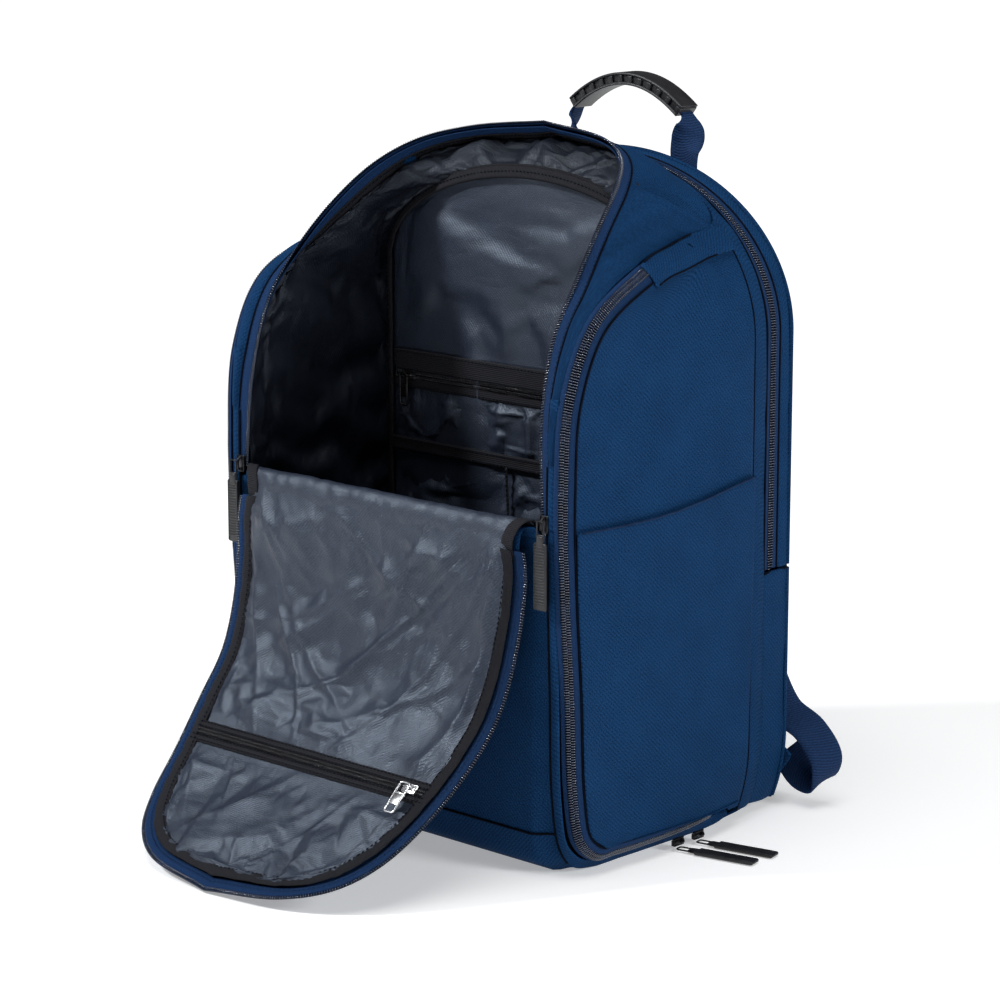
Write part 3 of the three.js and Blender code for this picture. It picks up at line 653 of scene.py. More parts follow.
def moulded(name, base, worn, rough, depth=0.00008, metallic=0.0, **sockets):
    """Moulded plastic, rubber or painted metal with a fine grain and rubbed spots."""
    grain = 0.0011
    s = Shader(name, Metallic=metallic, **sockets)
    at = s.in_space()
    fine = s.noise(at, 1 / grain, 2.0, 0.6)
    wear = s.noise(at, 90.0, 4.0, 0.6)
    s.join(s.colours(s.span(wear, 0.35, 0.75), (0.0, base), (1.0, worn)), "Base Color")
    s.join(s.between(fine, *rough), "Roughness")
    s.join(s.bump(fine, depth, 0.8), "Normal")
    return s.material


def spacer_mesh(name, dark, light):
    """Breathable knitted mesh: round open cells in a staggered grid."""
    s = Shader(name)
    at, cell = s.on_cloth(), 0.0036
    cells = s.node("TexVoronoi", {"feature": "F1"}, Vector=at, Scale=1 / cell, Randomness=0.25)
    hole = s.span(cells.outputs["Distance"], 0.12, 0.42)
    fuzz = s.noise(at, 1200.0)
    s.join(s.colours(s.total(hole, 0.8, fuzz, 0.2), (0.12, dark), (0.85, light)), "Base Color")
    s.join(s.span(fuzz, -1.8, 1.1), "Roughness")
    s.join(s.bump(hole, 0.0007), "Normal")
    return s.material


def make_materials():
    return {
        "shell": woven("navy_polyester", (0.0012, 0.0095, 0.033), (0.0100, 0.055, 0.154),
                       Specular_IOR_Level=0.04),
        "lining": nylon("charcoal_nylon", (0.003, 0.004, 0.008), (0.026, 0.035, 0.060), (0.34, 0.50),
                        Specular_IOR_Level=0.62, Specular_Tint=(0.74, 0.85, 1.0, 1.0)),
        # A darker copy of the lining: painted shade for the walls deep inside the main compartment.
        "painted_shade_lining": nylon("charcoal_nylon_painted_shade", (0.0015, 0.002, 0.004), (0.010, 0.013, 0.023),
                             (0.38, 0.56), Specular_IOR_Level=0.36, Specular_Tint=(0.78, 0.87, 1.0, 1.0)),
        "bind": twill("black_binding", (0.003, 0.003, 0.005), (0.022, 0.022, 0.027),
                      Specular_IOR_Level=0.15),
        "tape": twill("navy_zip_tape", (0.003, 0.012, 0.045), (0.012, 0.045, 0.13), period=0.0011,
                      Specular_IOR_Level=0.1),
        "coil": moulded("zip_coil", (0.004, 0.010, 0.030), (0.012, 0.030, 0.080), (0.06, 0.12),
                        Specular_IOR_Level=1.0),
        "inner_coil": moulded("inner_zip_coil", (0.003, 0.003, 0.005), (0.009, 0.010, 0.014), (0.2, 0.3),
                              Specular_IOR_Level=0.6),
        # Near-black thread: real stitching, and also the tubes along seams and under zip teeth, whose dark
        # colour is painted shade.
        "thread_and_painted_shade": moulded("dark_thread_and_painted_shade", (0.001, 0.002, 0.005), (0.003, 0.006, 0.014), (0.7, 0.9),
                          Specular_IOR_Level=0.05),
        "blue_thread": moulded("navy_thread", (0.003, 0.012, 0.04), (0.008, 0.028, 0.08), (0.6, 0.8),
                               Specular_IOR_Level=0.1),
        "board": moulded("base_board", (0.03, 0.03, 0.033), (0.05, 0.05, 0.053), (0.7, 0.9)),
        "metal": moulded("black_metal", (0.012, 0.012, 0.014), (0.05, 0.05, 0.055), (0.22, 0.36),
                         metallic=0.85),
        "silver": moulded("nickel", (0.55, 0.55, 0.57), (0.74, 0.74, 0.76), (0.16, 0.3), depth=0.00003,
                          metallic=1.0),
        "rubber": moulded("black_rubber", (0.006, 0.006, 0.008), (0.016, 0.016, 0.019), (0.36, 0.52),
                          Specular_IOR_Level=0.45),
        "plastic": moulded("black_acetal", (0.008, 0.008, 0.009), (0.02, 0.02, 0.022), (0.3, 0.42)),
        "webbing": twill("navy_webbing", (0.003, 0.010, 0.035), (0.013, 0.042, 0.12), period=0.0021,
                         Specular_IOR_Level=0.12),
        "mesh": spacer_mesh("pad_mesh", (0.003, 0.004, 0.008), (0.012, 0.03, 0.085)),
    }


MATERIALS = make_materials()


# ---- main shell ----
def near_side(u):
    """Rises to 1 at both side edges of a panel, where it is drawn back to the pods' strips."""
    return smooth(0.9, 1, np.abs(2 * u - 1))


def build_base():
    front, nose_share, end_y, end_z = FRONT_Y - 1, 0.3, -84, 3.6
    nose = profile([(front, 32), (front + 5, 12), (front + 24, 0)])
    nose_end = profile([(-106.3, 33), (-98.6, 15), (end_y, end_z)])

    def surface(u, v):
        to_end = near_side(u)
        turn = mix(nose(portion(v / nose_share)), nose_end(portion(v / nose_share)), to_end[..., None])
        floor_y = mix(mix(front + 24, end_y, to_end), BACK_Y - 3, (v - nose_share) / (1 - nose_share))
        y = np.where(v < nose_share, turn[..., 1], floor_y)
        half = PANEL_HALF - 11 * smooth(30, 125, y)
        floor_z = 6 * smooth(100, 135, y) + end_z * to_end * (1 - smooth(end_y, -55, y))
        return stack(mix(-1, 1, u) * half, y, np.where(v < nose_share, turn[..., 2], floor_z))
    cloth("base_panel_cloth", surface, 60, 60, "root", "shell", ["base_panel"])


def build_front_panel():
    def surface(u, v):
        bulge = 1.5 * np.sin(math.pi * v) * np.sin(math.pi * u)
        z = mix(33, HINGE_Z - 5, v)
        back = np.interp(z, (22, 60, 133, 204), (12.5, 5.2, 2.6, 0.2)) * near_side(u)
        return stack(mix(-1, 1, u) * PANEL_HALF, FRONT_Y - 1 - bulge + back, z)
    soft = ripple(1.1, 45, 3, (1, 1, 1.6))
    cloth("front_panel_cloth", surface, 80, 60, "root", "shell", ["front_panel"],
          lift=lambda u, v, p: soft(u, v, p) * np.sin(math.pi * v) ** 0.5)
    u = np.linspace(0, 1, 120)
    seam = stack(mix(-1, 1, u) * PANEL_HALF, FRONT_Y - 1.5 + 10.1 * near_side(u), 32.4)
    # A near-black tube along the seam: painted shade in its groove.
    sweep("front_panel_seam", seam, round_section(0.9), "root", "thread_and_painted_shade")


def strip_path():
    """Middle line of a pod's front and bottom strip, from the rear of the floor to the main seam."""
    return profile([(SEAM_Y - 6, 5.0), (SEAM_Y - 22, 1.2), (-40, 0.2), (-70, 0.6), (-90, 5.5), (-103, 22),
                    (-110.5, 60), (-113, 133), (-115.4, 204), (-116.4, 274), (-114, 340)])


def build_strips():
    path = strip_path()
    inner = PANEL_HALF + 0.7
    for side, sign in SIDES:
        def surface(u, v):
            p = path(v)
            crown = 1.2 * np.sin(math.pi * u)
            t = path.tangent(v)
            edge = mix(inner, pod_face(p[..., 1], p[..., 2]) - TAPE_TUCK, u)
            chamfer = 7 * u * (1 - smooth(4, 34, p[..., 2]))
            return stack(sign * edge, p[..., 1] - t[..., 2] * crown,
                         np.maximum(p[..., 2] - t[..., 1] * crown, 0.05) + chamfer)
        cloth(f"pod_gusset_cloth_{side}", surface, 6, 120, "root", "shell", [f"pod_gusset_{side}"],
              thick=1.6, away=(sign * 160, 0, 150), roll=0.35)
        t = np.linspace(0.43, 0.93, 120)
        p = path(t)
        groove = stack(sign * (inner - 0.4), p[:, 1] - 0.1, p[:, 2])
        # A near-black tube in the seam's groove: painted shade.
        sweep(f"front_seam_{side}", groove, round_section(0.9), "root", "thread_and_painted_shade")


GUSSET_START = 9.6                # width of the outer zip tape along the rim
RIM_ENDS = (0.004, 0.996)         # where the rim's tapes and teeth start and stop


def across_rim(t):
    return unit(gusset_edge(t) - rim(t))


def rim_out(t):
    """Outward normal of the band round the main opening."""
    return facing(np.cross(direction(rim, t, 2e-3), across_rim(t)), rim(t) - np.array(CORE))


def facing(n, outwards):
    """Normals turned to the outer side."""
    return unit(n * np.where(np.sum(n * outwards, axis=-1, keepdims=True) < 0, -1, 1))


def gusset_surface(u, t):
    a, b = rim(t), gusset_edge(t)
    start = GUSSET_START / np.linalg.norm(b - a, axis=-1)
    crown = 2.6 * np.sin(math.pi * u)[..., None] * rim_out(t)
    return mix(a, b, mix(start, 1, u)[..., None]) + crown


def gusset_crease(u, t, p):
    """Folds that fan out from the rim's upper corners."""
    s = from_foot(t)[0]

    def wave(start, end, width):
        return np.exp(-((s - mix(start, end, u)) / width) ** 2)
    ridge, valley = wave(0.635, 0.675, 0.016), wave(0.69, 0.725, 0.030)
    fans = 1.8 * wave(0.60, 0.58, 0.014) + 1.4 * wave(0.555, 0.53, 0.014) + 1.1 * wave(0.50, 0.49, 0.014)
    middle = np.sin(math.pi * portion(u)) ** 0.6
    return middle * (3.6 * ridge - 8.0 * valley - fans + 1.1 * value_noise(p / 22, 5))


def build_main_gusset():
    fold = 0.035
    u, v = grid(24, 240)
    t = mix(fold, 1 - fold, v)
    cloth("gusset_cloth", gusset_surface(u, t), 24, 240, "root", "shell", ["gusset_top"],
          lift=lambda u, v, p: gusset_crease(u, t, p))
    for name, near, far, depth, look in (("rim_tape_outer", 0.6, GUSSET_START - 0.3, 0.1, "tape"),
                                         ("rim_tape_inner", 1.0, 10.5, 2.9, "tape"),
                                         ("rim_binding", 10.2, 19.5, 3.4, "bind")):
        def band(u, v):
            at = mix(*RIM_ENDS, v)
            lump = 0.5 * value_noise(rim(at) / 9, 3) * (look == "bind")
            return (rim(at) + across_rim(at) * mix(near, far, u)[..., None]
                    - rim_out(at) * (depth + lump - 0.5 * np.sin(math.pi * u))[..., None])
        nodes = ["main_zip_rim"] if name == "rim_tape_outer" else []
        cloth(name, band, 4, 260, "root", look, nodes, thick=0.8)
    teeth("rim_teeth", lambda t: rim(t) - rim_out(t) * 0.5, lambda t: -across_rim(t), rim_out, "root",
          start=RIM_ENDS[0], stop=RIM_ENDS[1])

    def beside(across, height):
        return lambda t: rim(t) + across_rim(t) * across + rim_out(t) * height
    # A near-black tube along the seam: painted shade in its groove.
    seam = beside(GUSSET_START - 0.1, 0.1)(np.linspace(0.03, 0.97, 300))
    sweep("rim_seam", seam, round_section(0.75), "root", "thread_and_painted_shade")
    stitch_row("rim_stitches", beside(7.8, 0), "root", "blue_thread", lambda t, p: rim_out(t), start=0.02,
               stop=0.98)
    stitch_row("binding_stitches", beside(12.6, -4.6), "root", "thread_and_painted_shade", lambda t, p: -rim_out(t), start=0.02,
               stop=0.98)


def build_gusset_join():
    """The seam allowance between the main gusset's rear edge and the rear gusset."""
    def surface(u, v):
        a = gusset_edge(mix(0.335, 0.665, v))
        x = a[..., 0]
        z = SHOULDER_Z + (SEAM_ARCH[1] - SHOULDER_Z) * np.sqrt(1 - (x / SEAM_ARCH[0]) ** 2)
        return mix(a, stack(x, SEAM_Y + 1.4, z + 0.5), mix(-0.2, 1, u)[..., None])
    cloth("gusset_join", surface, 5, 160, "root", "shell", thick=1.4)


def rear_out(t, y):
    """Outward normal of the rear arch."""
    ahead = direction(lambda s: arch(s, y), t, 2e-3)
    return facing(np.cross(ahead, np.array((0.0, 1.0, 0.0))), arch(t, y) - stack(0, y, 250))


def on_arch(t, y, height):
    return arch(t, y) + rear_out(t, y) * height


REAR_FOOT = (DOOR_Z - FOOT_Z) / (SHOULDER_Z - FOOT_Z) * ARCH_SIDE_SHARE / 2


def build_rear_gusset():
    def band(y0, y1, v0, v1, crown):
        def surface(u, v):
            return on_arch(mix(v0, v1, v), mix(y0, y1, u), (crown * np.sin(math.pi * u))[..., None])
        return surface
    soft = ripple(0.9, 30, 11)
    cloth("rear_gusset_front", band(SEAM_Y + 0.6, REAR_ZIP_Y - 8.6, 0, 1, 1.2), 8, 260, "root", "shell",
          ["rear_gusset"], lift=soft, thick=1.8)
    middle = (REAR_FOOT + 0.002, 1 - REAR_FOOT - 0.002)
    cloth("rear_tape_front", band(REAR_ZIP_Y - 8.2, REAR_ZIP_Y - 2.6, *middle, 0.2), 3, 240, "root", "tape",
          thick=1.2)
    for side, sign in SIDES:
        v0, v1 = (1, 1 - REAR_FOOT) if sign > 0 else (0, REAR_FOOT)
        cloth(f"rear_gusset_low_cloth_{side}", band(REAR_ZIP_Y - 8.3, BACK_Y - 2.2, v0, v1, 1.5), 10, 60,
              "root", "shell", [f"rear_gusset_lower_{side}"], lift=soft, thick=1.8)
    cloth("rear_tape_rear", band(REAR_ZIP_Y + 2.6, REAR_ZIP_Y + 8.2, *middle, 0.2), 3, 240, "back_door",
          "tape", ["rear_zip_door"], thick=1.2)
    cloth("rear_gusset_cover", band(REAR_ZIP_Y + 8.7, BACK_Y - 2.2, *middle, 1.0), 8, 240, "back_door",
          "shell", ["rear_gusset_door"], lift=soft, thick=1.8)
    for name, sign, body, phase in (("rear_teeth_front", -1, "root", 0.0),
                                    ("rear_teeth_rear", 1, "back_door", 0.5)):
        y = REAR_ZIP_Y + sign * 1.7
        teeth(name, lambda t: arch(t, y), always(0, -sign, 0), lambda t: rear_out(t, y), body,
              start=middle[0], stop=middle[1], phase=phase)
    # Near-black tubes along the seams: painted shade in their grooves.
    for name, y, body, v0, v1 in (("seam_pod_rear", SEAM_Y + 0.3, "root", 0.0, 1.0),
                                  ("seam_zip_front", REAR_ZIP_Y - 8.5, "root", *middle),
                                  ("seam_zip_rear", REAR_ZIP_Y + 8.5, "back_door", *middle)):
        sweep(name, on_arch(np.linspace(v0, v1, 260), y, 0.2), round_section(0.8), body, "thread_and_painted_shade")
    piping_y, piping = BACK_Y - 1.2, round_section(1.7)
    sweep("back_piping", on_arch(np.linspace(*middle, 260), piping_y, 0.2), piping, "back_door", "shell")
    for side, sign in SIDES:
        foot, stop = (1, 1 - REAR_FOOT) if sign > 0 else (0, REAR_FOOT)
        sweep(f"back_piping_low_{side}", on_arch(np.linspace(foot, stop, 60), piping_y, 0.2), piping, "root",
              "shell")
        depths = np.linspace(REAR_ZIP_Y - 8.5, BACK_Y - 2, 12)
        line = np.vstack([on_arch(np.array([stop]), y, 0.8) for y in depths])
        # A near-black tube across the seam at the zip's stop: painted shade.
        sweep(f"rear_stop_seam_{side}", line, round_section(0.9), "root", "thread_and_painted_shade")


# ---- side pods ----
def pod_point(s, inset, drop=0.0):
    """A point beside a pod's zip: s along it, inset towards the door, drop inwards from the face."""
    p = pod_zip_path(s)
    t = pod_zip_path.tangent(s)
    y = p[..., 1] + t[..., 2] * inset
    z = p[..., 2] - t[..., 1] * inset
    return stack(pod_face(y, z) - drop, y, z)


def mirror_x(p, sign):
    return p * np.array((sign, 1.0, 1.0))


DOOR_FOOT = 20.0                  # height of the lower seam of its panel
DOOR_INSET = 11.0                 # from the pod's edge to the seam where its door panel starts
HOOD_START, HOOD_END = 0.776, 0.995   # where the zip runs under the hood, along its path


def door_grid(v_top, cols, rows, v0=0.0):
    """A grid over a pod's door, from its foot up to v_top of its edges."""
    u, v = grid(cols, rows, v0=v0)
    s = portion(v * v_top)
    t = pod_edge.tangent(s)
    front = pod_edge(s) + stack(0, t[..., 2], -t[..., 1]) * DOOR_INSET
    rear = pod_rear(s) - stack(0, 1.2 + 26 * smooth(0.55, 1.02, s) ** 2, 0)
    p = mix(front, rear, u[..., None])
    z = mix(p[..., 2], DOOR_FOOT, (1 - s) ** 9 * smooth(0, 0.12, u))
    return u, v, stack(pod_face(p[..., 1], z), p[..., 1], z)


def door_puff(p, amount):
    """The panel swells a little between its seams."""
    y = portion((p[..., 1] + 105) / 185)
    z = portion(p[..., 2] / 425)
    return amount * np.sin(math.pi * y) ** 0.6 * np.sin(math.pi * z) ** 0.5


def build_pod(side, sign):
    door = f"pod_door_{side}"
    away = (0, 0, 200)
    soft = ripple(1.0, 60, 17 + sign, (1, 1, 1.8))
    u, v, p = door_grid(0.985, 60, 120)
    p[..., 0] += door_puff(p, 2.2) + soft(u, v, p) * smooth(0, 0.1, 1 - v) - 2.0 * smooth(0.93, 1, v)
    cloth(f"pod_door_cloth_{side}", mirror_x(p, sign), 60, 120, door, "shell", [door], away=away)

    hem = 0.515
    u, v, p = door_grid(hem, 60, 90, v0=0.012)
    p[..., 2] -= 5.0 * np.sin(math.pi * portion(u * 1.05)) ** 1.3 * v ** 6
    p[..., 0] += 2.4 + door_puff(p, 2.6) + 0.9 * v ** 8 + soft(u, v, p) * 0.9
    cloth(f"pod_slip_cloth_{side}", mirror_x(p, sign), 60, 90, door, "shell", [f"pod_slip_pocket_{side}"],
          away=away, thick=1.4)
    edge = mirror_x(p[-1] + np.array((0.15, 0, 0.1)), sign)
    sweep(f"pod_slip_hem_{side}", edge[1:-1], round_section(0.75), door, "blue_thread")

    seam = pod_point(np.linspace(0.02, HOOD_START + 0.05, 300), DOOR_INSET - 0.5, -0.6)
    # A near-black tube along the door's seam: painted shade in its groove.
    sweep(f"pod_door_seam_{side}", mirror_x(seam, sign), round_section(0.85), door, "thread_and_painted_shade")

    def band(i0, d0, i1, d1, s0, s1, crown=0.3):
        def surface(u, v):
            drop = mix(d0, d1, u) - crown * np.sin(math.pi * u)
            return mirror_x(pod_point(mix(s0, s1, v), mix(i0, i1, u), drop), sign)
        return surface
    zip_end = HOOD_START + 0.003
    cloth(f"pod_tape_shell_{side}", band(-0.4, TAPE_TUCK - 0.4, 1.2, 5.6, 0.02, zip_end), 3, 240, "root",
          "tape", away=away, thick=0.9)
    cloth(f"pod_tape_door_{side}", band(5.6, 1.4, DOOR_INSET - 1.0, 0.0, 0.02, zip_end), 3, 240, door, "tape",
          [f"pod_zip_{side}"], away=away, thick=0.9)
    tilt = unit(np.array((3.7, 4.6)))

    def leaning(x, inwards):
        def way(s):
            t = pod_zip_path.tangent(s)
            return mirror_x(stack(x, t[..., 2] * inwards, -t[..., 1] * inwards), sign)
        return way
    for name, body, way, inset, drop, phase in ((f"pod_teeth_shell_{side}", "root", 1, 2.1, 4.9, 0.0),
                                                (f"pod_teeth_door_{side}", door, -1, 4.5, 3.0, 0.5)):
        teeth(name, lambda s: mirror_x(pod_point(s, inset, drop), sign), leaning(*(way * tilt)),
              leaning(tilt[1], -tilt[0]), body, start=0.03, stop=zip_end, phase=phase)
    cloth(f"pod_hood_{side}", band(-2.0, TAPE_TUCK - 4.0, DOOR_INSET + 2.5, -2.2, HOOD_START, HOOD_END, 2.6),
          10, 40, "root", "shell", away=away, thick=1.2)
    # Near-black tubes along the hood's seams: painted shade in their grooves.
    for tag, inset, drop, short in (("upper", -2.2, TAPE_TUCK - 4.6, 0.075),
                                    ("lower", DOOR_INSET + 2.7, -2.2, 0.05)):
        t = np.linspace(HOOD_START + 0.004, HOOD_END - short, 50)
        sweep(f"pod_hood_seam_{tag}_{side}", mirror_x(pod_point(t, inset, drop), sign), round_section(0.7),
              "root", "thread_and_painted_shade")
    build_pod_shoulder(side, sign)


def build_pod_shoulder(side, sign):
    """The shell between a pod's rear edge and the rear seam, which the zip doesn't reach."""
    def surface(u, v):
        s = mix(0.01, 1.0, v)
        a = pod_rear(s)
        reach = 5 + 30 * smooth(0.55, 1.0, s) ** 2
        front = stack(pod_face(a[..., 1], a[..., 2]) - 1.4, a[..., 1] - reach, a[..., 2])
        z = mix(a[..., 2], a[..., 2] + 3, v)
        turn = np.arcsin(portion((z - SHOULDER_Z) / (SEAM_ARCH[1] - SHOULDER_Z)))
        rear = stack(SEAM_ARCH[0] * np.cos(turn) - foot_tuck(z) + 0.4, SEAM_Y + 0.2, z)
        return mirror_x(mix(front, rear, u[..., None]), sign)
    cloth(f"pod_shoulder_{side}", surface, 8, 110, "root", "shell", away=(0, 0, 200), thick=1.4)


# ---- inside of the main compartment ----
def tunnel_front(t):
    """Front edge of the main compartment's lining: up from the floor, then round inside the rim."""
    s, side = from_foot(t)
    half = CORE_HALF - 1.4
    low_z = mix(6, HINGE_Z, portion(s / LINING_FOOT_SHARE))
    drawn_back = np.interp(low_z, (6, 18, 33, 60, 90), (21, 12, 8, 2, 0))
    low = stack(side * half, FRONT_Y + 5 + drawn_back, low_z)
    round_rim = portion((s - LINING_FOOT_SHARE) / (1 - LINING_FOOT_SHARE))
    at = np.where(t < 0.5, round_rim / 2, 1 - round_rim / 2)
    inner = rim(at) + across_rim(at) * 18.5 - rim_out(at) * 5.2
    inner[..., 0] = np.clip(inner[..., 0], -half, half)
    return mix(low, inner, smooth(LINING_FOOT_SHARE - 0.02, LINING_FOOT_SHARE + 0.06, s)[..., None])


def build_tunnel():
    u, t = grid(48, 240)
    inside = (0, -40, 220)
    p = mix(tunnel_front(t), divider_edge(t), u[..., None])
    top = smooth(0.52, 0.75, from_foot(t)[0])
    p = p + normals(p, inside) * (6 * np.sin(math.pi * u) * top)[..., None]
    free = slack((np.minimum(u, 1 - u), 9), (np.minimum(t, 1 - t), 30))
    p = crumple(p, free, 0.07, 4, 7, (0, -400, 220), back=4)
    # The walls take the darker copy of the lining: painted shade inside the compartment.
    cloth("tunnel_lining", p, 48, 240, "root", "painted_shade_lining", ["side_wall_right", "side_wall_left"],
          thick=0.6, away=inside)


def build_rear_walls():
    """The walls go on behind the divider, between the pods and the rear compartment."""
    for side, sign in SIDES:
        def surface(u, v):
            y = mix(DIVIDER_Y - 3, SEAM_Y - 3, u)
            return stack(sign * (CORE_HALF - 0.8), y, mix(5, mix(412, 392, u), v))
        # The darker copy of the lining: painted shade inside the compartment.
        cloth(f"side_wall_rear_{side}", surface, 10, 60, "root", "painted_shade_lining", thick=0.8, away=(0, 20, 200),
              lift=ripple(0.8, 30, 19))


def build_divider():
    u, v = grid(90, 110, u0=-1)
    spring, rise, half, foot = DIVIDER["spring"], DIVIDER["rise"] - 3, DIVIDER["half"] - 3, 5
    z = mix(foot, spring + rise, v)
    p = stack(u * half * arch_reach(z, spring, rise), DIVIDER_Y - 0.2, z)
    free = slack((1 - np.abs(u), 12), (v, 12), (1 - v, 14))
    behind = (0, 200, 250)
    p = crumple(p, free, 0.018, 12, 4, behind, back=0.4)
    cloth("divider_lining", p, 90, 110, "root", "lining", ["divider"], thick=0.8, away=behind)
    edge = divider_edge(np.linspace(0.006, 0.994, 260), 2.0)
    edge[:, 1] -= 2.6 + 0.7 * value_noise(edge / 8, 9)
    ahead = unit(np.gradient(edge, axis=0))
    tilt = np.cross(ahead, np.array((0.0, 1.0, 0.0))) + np.array((0, 0.35, 0))
    sweep("divider_binding", edge, band_section(11, 2.2), "root", "bind", side=tilt)
    stitch_row("divider_binding_stitches", Spline(edge[::6] + np.array((0, -1.5, 0))), "root", "thread_and_painted_shade",
               always(0, -1, 0))


def arch_reach(z, spring, rise):
    """Width of an arch at height z, as a share of its full width. It never quite closes at the crown."""
    return np.sqrt(np.clip(1 - (np.clip(z - spring, 0, None) / rise) ** 2, 0.0004, 1))


POCKET_BEHIND = (0, 200, 280)


def pocket_panel(name, z0, z1, seed, growth, nodes, rows=24, splits=()):
    """A loose lining pocket on the divider, gathered into the band above it."""
    cols = 90
    u, v = grid(cols, rows, u0=-1)
    belly = 1.6 * np.sin(math.pi * v)
    p = stack(u * POCKET["half"], DIVIDER_Y - 1.8 - belly, mix(z0, z1, v))
    free = slack((1 - np.abs(u), 14), (1 - v, 5), (v, 5))
    for x in splits:
        free = free * np.clip(np.abs(u * POCKET["half"] - x) / 9, 0.03, 1)
    p = crumple(p, free, growth, seed, 7, POCKET_BEHIND, back=1.0)
    cloth(name, p, cols, rows, "root", "lining", nodes, thick=0.6, away=POCKET_BEHIND)


def chain(name, line, side, out, body, gap=1.7):
    """A closed coil chain along a straight line or spline: two rows of teeth."""
    side = np.array(side, float)
    for tag, way, phase in (("a", -1, 0.0), ("b", 1, 0.5)):
        teeth(f"{name}_{tag}", lambda t: line(t) + side * way * gap * 0.9, always(*(-way * side)),
              always(*out), body, phase=phase, reach=3.6, pitch=1.6, look="inner_coil")


def level(half, y, z):
    """A straight line from left to right."""
    return Spline([(-half, y, z), (0, y, z), (half, y, z)])


def build_divider_pockets():
    half, hem, zip_z, y = POCKET["half"], POCKET["hem"], POCKET["zip"], DIVIDER_Y - 1.6
    forward = (0, -1, 0)
    for name, z0, z1, proud, nodes in (
            ("pocket_band_upper", zip_z + 2.6, POCKET["top"], 1.9, ["divider_pocket_zip"]),
            ("pocket_band_lower", zip_z - 9.5, zip_z - 2.6, 1.9, []),
            ("pocket_hem_band", hem - 9, hem + 1, 5.4, [])):
        cloth(name, lambda u, v: stack(mix(-half, half, u), y - proud, mix(z0, z1, v)), 90, 6, "root", "bind",
              nodes, thick=0.9, away=POCKET_BEHIND, lift=ripple(0.5, 14, 23))
        for k, z in enumerate((z0 + 1.6, z1 - 1.6) if z1 - z0 > 9 else (z0 + 1.5,)):
            stitch_row(f"{name}_stitches_{k}", level(half, y - proud - 0.5, z), "root", "thread_and_painted_shade",
                       always(*forward))
    chain("pocket_teeth", level(half - 2, y - 1.4, zip_z), (0, 0, 1), forward, "root")
    splits = (-18, 70)
    pocket_panel("zip_pocket_cloth", hem - 4, zip_z - 8, 31, 0.09, ["divider_zip_pocket"])
    pocket_panel("slip_pocket_cloth", 100, hem - 5, 37, 0.07, ["divider_slip_pocket"], rows=50, splits=splits)
    for k, x in enumerate(splits):
        line = Spline([(x, y - 3.2, 102), (x + 2, y - 3.4, 180), (x, y - 5.0, hem - 8)])
        sweep(f"pocket_split_{k}", line(np.linspace(0, 1, 60)), band_section(2.6, 1.0), "root", "bind",
              side=(1, 0, 0))
        stitch_row(f"pocket_split_stitches_{k}", line, "root", "thread_and_painted_shade", always(*forward), lift=0.8)


def build_floor_and_front_lining():
    u, v = grid(60, 60)
    q = profile([(DIVIDER_Y - 3, 6.4), (-60, 6.4), (-88, 7.5), (-102, 20), (-108.4, 60), (-109.4, 150),
                 (-110.4, 236), (-112.5, 249)])(v)
    p = stack(mix(-146, 146, u), q[..., 1], q[..., 2])
    inside, board_top = (0, -40, 120), 5.2
    p = crumple(p, slack((np.minimum(u, 1 - u), 12), (1 - v, 12), (v, 12)), 0.02, 41, 3.0, inside, back=3.0)
    p[..., 2] = np.maximum(p[..., 2], board_top)
    cloth("inner_lining", p, 60, 60, "root", "lining", thick=0.6, away=inside)


# ---- front flap, hanging open ----
FOLD = ("root", "flap", (0, -116.5, 0), (0, -123.5, 0))
FLAP_START, FLAP_TIP, FLAP_ZIP = 0.985, 0.515, 0.77
LINING_SIDE = (0, -400, 300)      # a point on the side of the hanging flap where its lining is
SHELL_SIDE = (0, -100, 20)        # a point on its navy side
FLAP_DEPTH = 2.4                  # from the flap's outer face to its lining


def flap_grid(t0, t1, inset, depth, cols, rows):
    u, v = grid(cols, rows, u0=-1)
    x, length = flap_edge(mix(t0, t1, v), inset)
    return u, v, fold_down(flap_point(np.abs(x) * u, length, depth))


def flap_rim(t, inset, depth):
    x, length = flap_edge(t, inset)
    return fold_down(flap_point(x, length, depth))


def flap_across(t):
    return unit(flap_rim(t, 3.0, 0) - flap_rim(t, 6.0, 0))


def flap_up(t):
    """Normal of the flap on its lining side."""
    return unit(flap_rim(t, 3.0, 2.0) - flap_rim(t, 3.0, 0))


def flap_folds(u, v, amount):
    """Long soft folds that fan out from the flap's upper right corner, and short ones from its upper left."""
    total = 0
    for corner, bends, share, seed in (((1.05, -0.12), 9.0, 1.0, 5), ((-1.05, -0.15), 7.0, 0.6, 9)):
        du, dv = u - corner[0], (v - corner[1]) * 2.0
        angle = np.arctan2(dv, du)
        reach = np.hypot(du, dv)
        at = stack(angle * bends + 0.4 * value_noise(stack(u * 2, v * 3, 0), seed), reach * 0.7, seed)
        ridge = 1 - 2 * np.abs(value_noise(at, seed)) ** 0.75
        total = total + share * ridge * smooth(0.05, 0.6, reach) * (1 - 0.55 * smooth(1.2, 2.6, reach))
    small = 0.5 * value_noise(stack(u * 5, v * 8, 3), 21), 0.25 * value_noise(stack(u * 11, v * 17, 8), 22)
    return amount * (total + small[0] + small[1])


